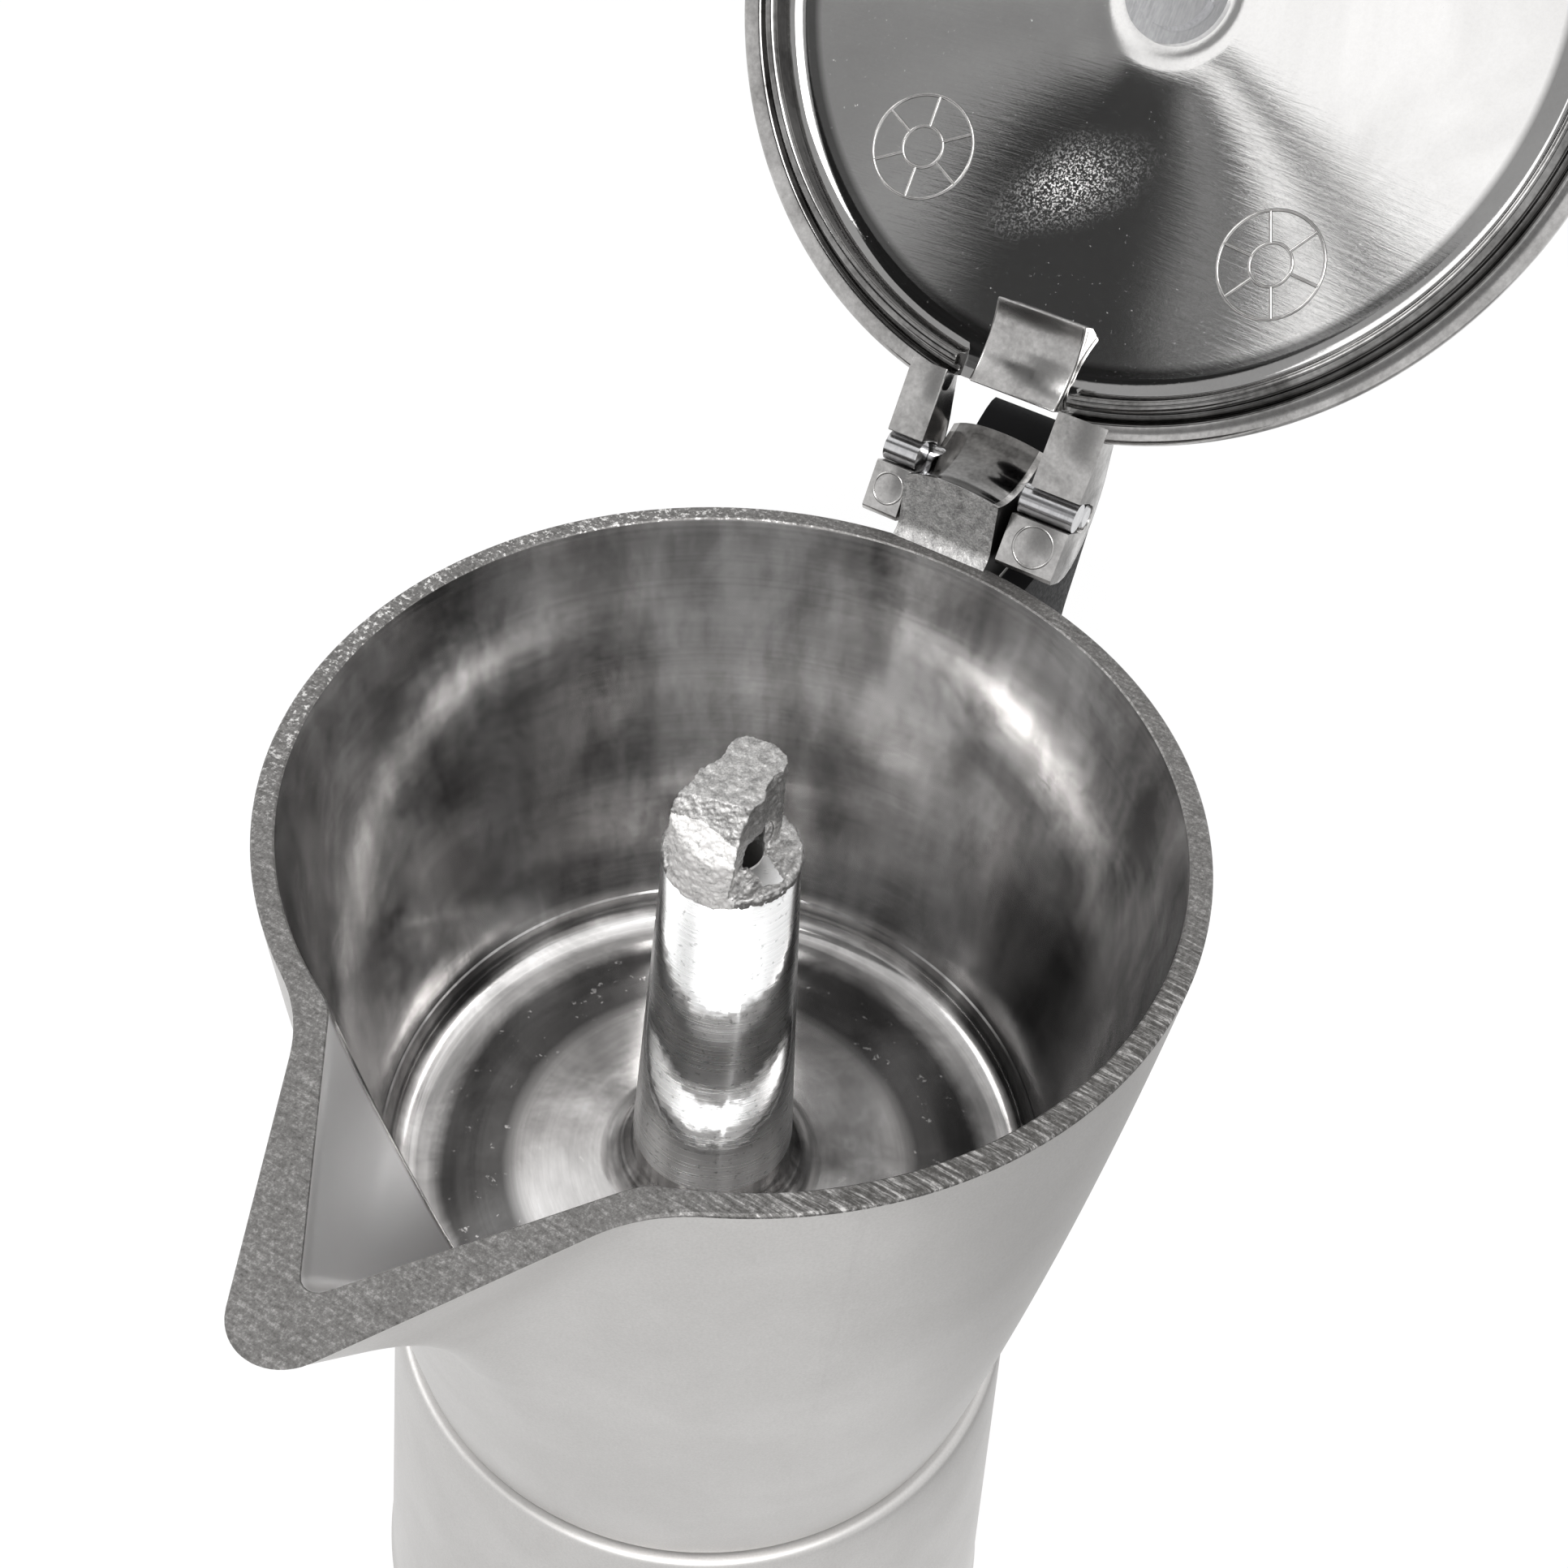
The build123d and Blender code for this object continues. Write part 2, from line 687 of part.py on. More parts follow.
with BuildPart() as handle:
    with BuildSketch(Plane.YZ):
        with BuildLine():
            Line(front[-1], (front[-1][0], saddle_low))
            Line((front[-1][0], saddle_low), (hinge_reach, saddle_low))
            ThreePointArc((hinge_reach, saddle_low), saddle_middle, saddle_tip)
            ThreePointArc(saddle_tip, crest[0], crest[1])
            ThreePointArc(crest[1], crest[2], crest[3])
            Polyline(*back)
            ThreePointArc(back[-1], (end_y, rim_height + end_rise), front[0])
            Polyline(*front)
        make_face()
    extrude(amount=handle_width / 2, both=True)
    chamfer(handle.edges().group_by(Axis.X)[0] + handle.edges().group_by(Axis.X)[-1], handle_edge)
    # room for the body's wall and its tang
    add(outer_section(seat_gap))
    revolve(axis=Axis.Z, mode=Mode.SUBTRACT)
    with BuildSketch(Plane.YZ):
        with BuildLine():
            Polyline(
                (pocket_front, pocket_top),
                (pocket_front, rim_height - tang_drop - tang_gap),
                (tang_back + tang_gap, rim_height - tang_drop - tang_gap),
                (tang_back + tang_gap, pocket_top),
                close=True,
            )
        make_face()
    extrude(amount=tang_width / 2 + tang_gap, both=True, mode=Mode.SUBTRACT)
    # stepped hole of its screw
    with BuildSketch(Plane.XZ.offset(-tang_back)):
        with Locations((0, rim_height - handle_screw_drop)):
            Circle(handle_screw_radius + press_gap)
    extrude(amount=tang_back - handle_screw_seat, mode=Mode.SUBTRACT)
    with BuildSketch(Plane.XZ.offset(-handle_screw_seat)):
        with Locations((0, rim_height - handle_screw_drop)):
            Circle(handle_screw_head_radius + seat_gap)
    extrude(amount=-handle_width, mode=Mode.SUBTRACT)
export(handle.part, "handle")

with BuildPart() as handle_screw:
    with BuildSketch(Plane.XZ.offset(-handle_screw_end)):
        with Locations((0, rim_height - handle_screw_drop)):
            Circle(handle_screw_radius)
    extrude(amount=handle_screw_end - handle_screw_seat)
    with BuildSketch(Plane.XZ.offset(-handle_screw_seat)):
        with Locations((0, rim_height - handle_screw_drop)):
            Circle(handle_screw_head_radius)
    extrude(amount=-handle_screw_head)
    with BuildSketch(Plane.XZ.offset(driver_slot_depth - handle_screw_seat - handle_screw_head)):
        with Locations((0, rim_height - handle_screw_drop)):
            Rectangle(2 * handle_screw_head_radius, driver_slot_width)
    extrude(amount=-driver_slot_depth, mode=Mode.SUBTRACT)
export(handle_screw.part, "handle_screw")

# ==== lid, drawn closed and then turned open about the hinge ================================
ring_outer = rim_inner - lid_gap
ring_inner = ring_outer - lid_ring_wall
lid_bottom = rim_height + lid_rest_gap
flat_height = rim_height + lid_inner_top
lid_top = flat_height + lid_plate
knob_seat = lid_top + knob_boss_height
arm = [
    (hinge_reach + y, hinge_height + z)
    for y, z in (arm_root, arm_neck, arm_hollow, knuckle_crown, knuckle_shoulder, knuckle_corner)
]
half_way = (lid_flat_radius + ring_inner) / 2
half_height = rim_height + (lid_inner_top + lid_inner_edge) / 2 + lid_inner_belly

with BuildPart() as lid:
    with BuildSketch(Plane.XZ):
        with BuildLine():
            Polyline(
                (0, flat_height),
                (lid_flat_radius, flat_height),
                (half_way, half_height),
                (ring_inner, rim_height + lid_inner_edge),
                (ring_inner, rim_height - lid_ring_drop),
                (ring_outer, rim_height - lid_ring_drop),
                (ring_outer, rim_height + lid_groove_top),
                (lid_groove_radius, rim_height + lid_groove_top),
                (lid_groove_radius, lid_bottom),
                (lid_radius, lid_bottom),
                (lid_radius, rim_height + lid_flange - lid_corner),
                (lid_radius - lid_corner, rim_height + lid_flange),
                (half_way, half_height + lid_plate),
                (knob_boss_radius, lid_top),
                (knob_boss_radius, knob_seat),
                (0, knob_seat),
                close=True,
            )
        make_face()
    revolve(axis=Axis.Z)
    # notch between the two hinge arms
    with BuildSketch(Plane.XY.offset(rim_height - lid_ring_drop)):
        with Locations((0, notch_reach)):
            Rectangle(notch_width, lid_radius, align=(Align.CENTER, Align.MIN))
    extrude(amount=lid_top - rim_height, mode=Mode.SUBTRACT)
    # curved tongue and its web, where the ring is left out
    with BuildSketch(Plane.XY.offset(rim_height - lid_ring_drop)):
        with Locations((0, tongue_start)):
            Rectangle(tongue_width, notch_reach - tongue_start, align=(Align.CENTER, Align.MIN))
    extrude(amount=lid_ring_drop + tongue_high + tongue_plate / 2, mode=Mode.SUBTRACT)
    with BuildSketch(Plane.YZ):
        with BuildLine():
            ThreePointArc(
                (tongue_start, rim_height + tongue_low),
                ((tongue_start + tongue_end) / 2, rim_height + tongue_high),
                (tongue_end, rim_height + tongue_low),
            )
            Line(
                (tongue_end, rim_height + tongue_low),
                (tongue_end, rim_height + tongue_low + tongue_plate),
            )
            ThreePointArc(
                (tongue_end, rim_height + tongue_low + tongue_plate),
                ((tongue_start + tongue_end) / 2, rim_height + tongue_high + tongue_plate),
                (tongue_start, rim_height + tongue_low + tongue_plate),
            )
            Line(
                (tongue_start, rim_height + tongue_low + tongue_plate),
                (tongue_start, rim_height + tongue_low),
            )
        make_face()
    extrude(amount=tongue_width / 2, both=True)
    with BuildSketch(Plane.YZ):
        with BuildLine():
            Polyline(
                (tongue_start, rim_height + tongue_low + tongue_plate / 2),
                (tongue_start, rim_height + lid_inner_edge + lid_plate),
                (tongue_end, rim_height + tongue_low + tongue_plate),
                (tongue_end, rim_height + tongue_low + tongue_plate / 2),
            )
            ThreePointArc(
                (tongue_end, rim_height + tongue_low + tongue_plate / 2),
                ((tongue_start + tongue_end) / 2, rim_height + tongue_high + tongue_plate / 2),
                (tongue_start, rim_height + tongue_low + tongue_plate / 2),
            )
        make_face()
    extrude(amount=tongue_web / 2, both=True)
    # two arms with their knuckles
    for side in (-1, 1):
        middle = side * (knuckle_inner + knuckle_outer) / 2
        with BuildSketch(Plane.YZ.offset(middle)):
            with BuildLine():
                Polyline(arm[0], (arm[0][0], lid_bottom), (arm[5][0], lid_bottom), arm[5])
                ThreePointArc(arm[5], arm[4], arm[3])
                ThreePointArc(arm[3], arm[2], arm[1])
                Line(arm[1], arm[0])
            make_face()
            with Locations((hinge_reach, hinge_height)):
                Circle(hinge_pin_radius + running_gap, mode=Mode.SUBTRACT)
                Rectangle(knuckle_slot, 2 * hinge_rise, align=(Align.CENTER, Align.MAX), mode=Mode.SUBTRACT)
        extrude(amount=knuckle_width / 2, both=True)
    # hole of the knob's screw
    with BuildSketch(Plane.XY.offset(flat_height)):
        Circle(knob_screw_radius + press_gap)
    extrude(amount=knob_seat - flat_height, mode=Mode.SUBTRACT)
export(lid.part.rotate(hinge_axis, -lid_open_angle), "lid")

# ==== knob, its washer and its screw =======================================================
with BuildPart() as lid_knob:
    with BuildSketch(Plane.XZ):
        with BuildLine():
            Polyline(
                (0, knob_seat),
                (knob_foot_radius, knob_seat),
                (knob_waist_radius, knob_seat + knob_waist_height),
                (knob_neck_radius, knob_seat + knob_neck_height),
                (knob_top_radius, knob_seat + knob_top_height),
                (knob_top_radius, knob_seat + knob_rim_height),
                (knob_edge_radius, knob_seat + knob_edge_height),
                (knob_crown_radius, knob_seat + knob_height),
                (0, knob_seat + knob_height),
                close=True,
            )
        make_face()
    revolve(axis=Axis.Z)
    with BuildSketch(Plane.XY.offset(knob_seat)):
        Circle(knob_screw_radius + press_gap)
    extrude(amount=knob_screw_depth, mode=Mode.SUBTRACT)
export(lid_knob.part.rotate(hinge_axis, -lid_open_angle), "lid_knob")

washer_bottom = flat_height - knob_washer_thickness
with BuildPart() as knob_washer:
    with BuildSketch(Plane.XY.offset(washer_bottom)):
        Circle(knob_washer_radius)
        Circle(knob_screw_radius + press_gap, mode=Mode.SUBTRACT)
    extrude(amount=knob_washer_thickness)
export(knob_washer.part.rotate(hinge_axis, -lid_open_angle), "knob_washer")

screw_bottom = washer_bottom - knob_screw_head
with BuildPart() as knob_screw:
    with BuildSketch(Plane.XY.offset(washer_bottom)):
        Circle(knob_screw_radius)
    extrude(amount=knob_seat + knob_screw_depth - press_gap - washer_bottom)
    with BuildSketch(Plane.XY.offset(screw_bottom)):
        Circle(knob_screw_head_radius)
    extrude(amount=knob_screw_head)
    with BuildSketch(Plane.XY.offset(screw_bottom)):
        Rectangle(2 * knob_screw_head_radius, driver_slot_width)
    extrude(amount=driver_slot_depth, mode=Mode.SUBTRACT)
export(knob_screw.part.rotate(hinge_axis, -lid_open_angle), "knob_screw")
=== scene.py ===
import math

import bmesh
import bpy
import numpy as np
from mathutils import Matrix, Vector, noise as mathutils_noise


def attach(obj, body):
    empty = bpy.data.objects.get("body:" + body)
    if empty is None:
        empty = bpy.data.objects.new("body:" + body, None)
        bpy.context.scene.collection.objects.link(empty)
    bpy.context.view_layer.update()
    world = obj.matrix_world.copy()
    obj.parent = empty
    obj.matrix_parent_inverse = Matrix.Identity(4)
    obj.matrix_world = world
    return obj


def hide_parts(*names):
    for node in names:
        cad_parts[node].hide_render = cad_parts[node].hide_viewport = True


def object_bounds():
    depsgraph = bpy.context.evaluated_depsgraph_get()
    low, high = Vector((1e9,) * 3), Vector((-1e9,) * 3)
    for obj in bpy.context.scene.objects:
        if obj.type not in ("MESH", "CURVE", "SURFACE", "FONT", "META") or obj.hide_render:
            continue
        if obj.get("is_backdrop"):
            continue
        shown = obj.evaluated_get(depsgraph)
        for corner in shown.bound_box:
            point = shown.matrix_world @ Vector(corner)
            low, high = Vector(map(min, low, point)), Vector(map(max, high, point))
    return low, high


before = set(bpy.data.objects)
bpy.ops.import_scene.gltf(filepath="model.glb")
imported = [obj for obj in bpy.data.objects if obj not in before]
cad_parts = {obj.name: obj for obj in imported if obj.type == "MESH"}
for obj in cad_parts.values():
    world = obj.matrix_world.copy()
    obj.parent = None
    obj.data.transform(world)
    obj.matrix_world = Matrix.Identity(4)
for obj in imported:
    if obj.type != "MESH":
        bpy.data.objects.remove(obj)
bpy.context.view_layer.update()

# Moka pot. Lengths are in millimetres unless a comment says metres; mesh_from turns them into metres.
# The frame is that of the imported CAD: the origin is the middle of the base, +Z is up, the spout points
# to -Y, the handle and the lid's hinge lie towards +Y.
MM = 0.001
RIM = 174.0  # height of the rim, and of everything measured from it
HINGE_Y, HINGE_Z = 58.5, RIM + 5.65
LID_ANGLE = math.radians(-120.2)  # the lid is drawn closed and turned open about the hinge
FOOT = 80.6  # lower end of the upper chamber's casting
CUP_FLOOR = 108.0  # floor inside the upper chamber
VALVE_Z = 50  # height of the safety valve
PITCH = 3.0  # thread between boiler and upper chamber
X_AXIS, Y_AXIS = (1, 0, 0), (0, 1, 0)


# ---- small tools ----
def link(name, data):
    obj = bpy.data.objects.new(name, data)
    bpy.context.scene.collection.objects.link(obj)
    return obj


def mesh_from(name, verts, faces, smooth=True):
    mesh = bpy.data.meshes.new(name)
    mesh.from_pydata([tuple(c * MM for c in v) for v in verts], [], faces)
    mesh.validate()
    mesh.update()
    for p in mesh.polygons:
        p.use_smooth = smooth
    return link(name, mesh)


def circle(count):
    """Angles of points evenly round a circle."""
    return [2 * math.pi * i / count for i in range(count)]


def around(x, y, radius, angle):
    return x + radius * math.cos(angle), y + radius * math.sin(angle)


def fix_normals(obj):
    bm = bmesh.new()
    bm.from_mesh(obj.data)
    bmesh.ops.remove_doubles(bm, verts=bm.verts, dist=1e-7)
    bmesh.ops.recalc_face_normals(bm, faces=bm.faces)
    bm.to_mesh(obj.data)
    bm.free()
    obj.data.update()


def sharpen(obj, degrees=30):
    """Smooth shading that breaks at edges sharper than an angle."""
    mesh = obj.data
    for p in mesh.polygons:
        p.use_smooth = True
    bm = bmesh.new()
    bm.from_mesh(mesh)
    limit = math.radians(degrees)
    for e in bm.edges:
        e.smooth = len(e.link_faces) == 2 and e.calc_face_angle(0) < limit
    bm.to_mesh(mesh)
    bm.free()


def skin(rings, count):
    """Quads between rings of count points each."""
    return [(k * count + i, k * count + (i + 1) % count, (k + 1) * count + (i + 1) % count, (k + 1) * count + i)
            for k in range(rings - 1) for i in range(count)]


def capped(count):
    """Faces of two rings of points: both ends and the side."""
    return [tuple(range(count)), tuple(range(2 * count - 1, count - 1, -1))] + skin(2, count)


def lathe(name, profile, segments=128):
    """Turns a closed profile of (radius, height) in mm about Z. Points on the axis become one vertex."""
    verts, rings = [], []
    for r, z in profile:
        if r < 1e-6:
            rings.append([len(verts)])
            verts.append((0, 0, z))
        else:
            rings.append(list(range(len(verts), len(verts) + segments)))
            verts += [(*around(0, 0, r, a), z) for a in circle(segments)]
    faces = []
    for a, b in zip(rings, rings[1:] + rings[:1]):
        for i in range(segments):
            j = (i + 1) % segments
            face = dict.fromkeys((a[i % len(a)], a[j % len(a)], b[j % len(b)], b[i % len(b)]))
            if len(face) > 2:
                faces.append(tuple(face))
    obj = mesh_from(name, verts, faces)
    fix_normals(obj)
    return obj


def arc(cx, cz, r, a0, a1, n=6):
    """Points of an arc, angles in degrees."""
    return [around(cx, cz, r, math.radians(a0 + (a1 - a0) * i / n)) for i in range(n + 1)]


def round_profile(points, radii, n=4):
    """Rounds the corners of a closed polygon of (r, z) points, one radius per corner."""
    out = []
    for i, (p, rad) in enumerate(zip(points, radii)):
        p = Vector(p)
        a = Vector(points[i - 1]) - p
        b = Vector(points[(i + 1) % len(points)]) - p
        la, lb = a.length, b.length
        a.normalize()
        b.normalize()
        half = a.angle(b) / 2
        cut = min(rad / math.tan(half), la * 0.45, lb * 0.45)
        r = cut * math.tan(half)
        centre = p + (a + b).normalized() * (r / math.sin(half))
        s, e = p + a * cut - centre, p + b * cut - centre
        turn = s.angle_signed(e)
        out += [tuple(centre + Matrix.Rotation(-turn * k / n, 2) @ s) for k in range(n + 1)]
    return out


def prism(name, outline, x0, x1):
    """Extrudes an outline of (y, z) in mm from x0 to x1."""
    obj = mesh_from(name, [(x, y, z) for x in (x0, x1) for y, z in outline], capped(len(outline)), False)
    fix_normals(obj)
    return obj


def block(name, low_y, high_y, low_z, high_z, x0, x1):
    return prism(name, [(low_y, low_z), (high_y, low_z), (high_y, high_z), (low_y, high_z)], x0, x1)


def evaluated_mesh(obj):
    deps = bpy.context.evaluated_depsgraph_get()
    return bpy.data.meshes.new_from_object(obj.evaluated_get(deps))


def modify(obj, kind, **settings):
    """Applies one modifier."""
    mod = obj.modifiers.new(kind, kind)
    for key, value in settings.items():
        setattr(mod, key, value)
    mesh = evaluated_mesh(obj)
    obj.modifiers.clear()
    obj.data = mesh


def bevel(obj, width, segments=3, angle=30):
    modify(obj, "BEVEL", width=width * MM, segments=segments, limit_method="ANGLE", angle_limit=math.radians(angle))
    sharpen(obj, 35)


def boolean(obj, cutter, kind="DIFFERENCE"):
    """Cuts one object by another, or joins them, and removes the other."""
    modify(obj, "BOOLEAN", operation=kind, solver="EXACT", object=cutter)
    bpy.data.objects.remove(cutter)


def cylinder(name, centre, direction, radius, length, segments=64):
    """A plain cylinder that starts at centre and runs along direction."""
    d = Vector(direction).normalized()
    side = d.orthogonal().normalized()
    up = d.cross(side)
    verts = [tuple(Vector(centre) + d * k + side * (radius * math.cos(a)) + up * (radius * math.sin(a)))
             for k in (0, length) for a in circle(segments)]
    obj = mesh_from(name, verts, capped(segments))
    fix_normals(obj)
    return obj


def round_wire(name, centre, radius, thin, segments=48, sides=8):
    """A ring of thin wire lying level."""
    verts, faces = [], []
    for i, a in enumerate(circle(segments)):
        j = (i + 1) % segments
        for k, b in enumerate(circle(sides)):
            r = radius + thin * math.cos(b)
            verts.append((*around(centre[0], centre[1], r, a), centre[2] + thin * math.sin(b)))
            after = (k + 1) % sides
            faces.append((i * sides + k, j * sides + k, j * sides + after, i * sides + after))
    return mesh_from(name, verts, faces)


def join(name, objs):
    """Joins mesh objects into the first; faces keep their material numbers."""
    first = objs[0]
    bm = bmesh.new()
    for o in objs:
        bm.from_mesh(o.data)
    bm.to_mesh(first.data)
    bm.free()
    for o in objs[1:]:
        bpy.data.objects.remove(o)
    first.name = name
    return first


def open_lid(obj):
    """Turns a piece drawn in the closed lid's place to the open rest pose."""
    hinge = Matrix.Translation((0, HINGE_Y * MM, HINGE_Z * MM))
    obj.data.transform(hinge @ Matrix.Rotation(LID_ANGLE, 4, "X") @ hinge.inverted())
    obj.data.update()


def paint(obj, *materials):
    for material in materials:
        obj.data.materials.append(material)


def place(obj, body, slot_name, material, *nodes):
    """Gives a piece one material, its body and the CAD nodes it replaces; slot_name is not used."""
    obj.data.materials.clear()
    paint(obj, material)
    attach(obj, body)
    if nodes:
        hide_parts(*nodes)


# ---- materials ----
class Value:
    """A number or colour inside a shader; arithmetic on it adds math nodes."""

    def __init__(self, socket):
        self.socket = socket

    __add__ = __radd__ = lambda self, other: calc("ADD", self, other)
    __mul__ = __rmul__ = lambda self, other: calc("MULTIPLY", self, other)
    __sub__ = lambda self, other: calc("SUBTRACT", self, other)
    __rsub__ = lambda self, other: calc("SUBTRACT", other, self)
    __truediv__ = lambda self, other: calc("DIVIDE", self, other)


def feed(into, value):
    """Links a shader value to an input, or sets the input to a plain value."""
    value = getattr(value, "socket", value)
    if isinstance(value, bpy.types.NodeSocket):
        into.id_data.links.new(value, into)
    else:
        into.default_value = value


def calc(kind, *terms):
    """A math node on values and numbers."""
    tree = next(t.socket.id_data for t in terms if isinstance(t, Value))
    n = node(tree, "Math", operation=kind)
    for into, term in zip(n.inputs, terms):
        feed(into, term)
    return Value(n.outputs["Value"])


def vector_calc(tree, kind, *terms, **inputs):
    """A vector math node; its unnamed inputs come first."""
    n = node(tree, "VectorMath", operation=kind, **inputs)
    for into, term in zip(n.inputs, terms):
        feed(into, term)
    return n.outputs["Vector"]


def new_material(name, metallic=1.0):
    mat = bpy.data.materials.new(name)
    mat.use_nodes = True
    tree = mat.node_tree
    shader = tree.nodes["Principled BSDF"]
    feed(shader.inputs["Metallic"], metallic)
    return mat, tree, shader


def node(tree, kind, **values):
    """A shader node. Names of its inputs feed them, other names are its settings."""
    n = tree.nodes.new("ShaderNode" + kind)
    for key, value in values.items():
        if key in n.inputs:
            feed(n.inputs[key], value)
        else:
            setattr(n, key, value)
    return n


def metres(tree):
    return node(tree, "TexCoord").outputs["Object"]


def coords(tree, scale=(1, 1, 1)):
    """Object coordinates in millimetres, stretched by scale."""
    stretch = tuple(1000 * s for s in scale)
    return node(tree, "Mapping", Vector=metres(tree), Scale=stretch).outputs["Vector"]


def split(vector):
    n = node(vector.id_data, "SeparateXYZ", Vector=vector)
    return [Value(n.outputs[axis]) for axis in "XYZ"]


def combine(tree, **parts):
    return node(tree, "CombineXYZ", **parts).outputs["Vector"]


def noise(vector, scale, detail=4.0, rough=0.55, distortion=0.0):
    n = node(vector.id_data, "TexNoise", Vector=vector, Scale=scale, Detail=detail,
             Roughness=rough, Distortion=distortion)
    return Value(n.outputs["Fac"])


def ramp(fac, stops):
    """Greys or colours at places along a value."""
    n = node(fac.socket.id_data, "ValToRGB", Fac=fac)
    while len(n.color_ramp.elements) < len(stops):
        n.color_ramp.elements.new(0.5)
    for e, (pos, tone) in zip(n.color_ramp.elements, stops):
        e.position = pos
        e.color = (tone, tone, tone, 1) if isinstance(tone, (int, float)) else (*tone, 1)
    return Value(n.outputs["Color"])


def spread(fac, low, high, out_low=0.0, out_high=1.0):
    """Maps one range of a value onto another and holds its ends."""
    n = node(fac.socket.id_data, "MapRange", Value=fac, **{
        "From Min": low, "From Max": high, "To Min": out_low, "To Max": out_high})
    return Value(n.outputs["Result"])


def towards(angle, degrees, low, high, out_low=0.0, out_high=1.0):
    """Rises where an angle round the axis comes near a direction."""
    return spread(calc("COSINE", angle - math.radians(degrees)), low, high, out_low, out_high)


def coat(shader, colour, rough, height, strength, distance_mm, **before):
    """Gives a shader its colour, its roughness and a bump, on the normal before it if one is named."""
    raised = node(shader.id_data, "Bump", Height=height, Strength=strength,
                  Distance=distance_mm * MM, **before)
    feed(shader.inputs["Base Color"], colour)
    feed(shader.inputs["Roughness"], rough)
    feed(shader.inputs["Normal"], raised.outputs["Normal"])


def turned(tree, shader, amount):
    """Turned finish: grooves round Z stretch every reflection across them."""
    tangent = node(tree, "Tangent", direction_type="RADIAL", axis="Z")
    feed(shader.inputs["Tangent"], tangent.outputs["Tangent"])
    feed(shader.inputs["Anisotropic"], amount)


def metal(name, dark, light, rough_low, rough_high, grain, strength, bump_mm, streaks=None, blotch=0.06):
    """Metal whose colour and roughness vary with blotches, fine grain and, if given, drawn streaks."""
    mat, tree, shader = new_material(name)
    v = coords(tree)
    fine = noise(v, grain, 3, 0.6)
    tone = noise(v, blotch, 5, 0.6, 0.4) * 0.7 + fine * 0.3
    height = fine
    if streaks is not None:
        lines = noise(coords(tree, streaks), 1.0, 4, 0.6)
        tone = tone * 0.6 + lines * 0.4
        height = fine * 0.4 + lines * 0.6
    coat(shader, ramp(tone, [(0.3, dark), (0.7, light)]), spread(tone, 0.3, 0.7, rough_high, rough_low),
         height, strength, bump_mm)
    return mat


def moulded(name, dark, light, light_at, cloud, grain, rough_low, rough_high, strength, bump_mm, specular=0.5):
    """Plastic or rubber: clouds of two tones under a fine grain."""
    mat, tree, shader = new_material(name, 0.0)
    v = coords(tree)
    fine = noise(v, grain, 3)
    feed(shader.inputs["Specular IOR Level"], specular)
    coat(shader, ramp(noise(v, cloud, 4), [(0.3, dark), (light_at, light)]),
         spread(fine, 0.3, 0.7, rough_low, rough_high), fine, strength, bump_mm)
    return mat


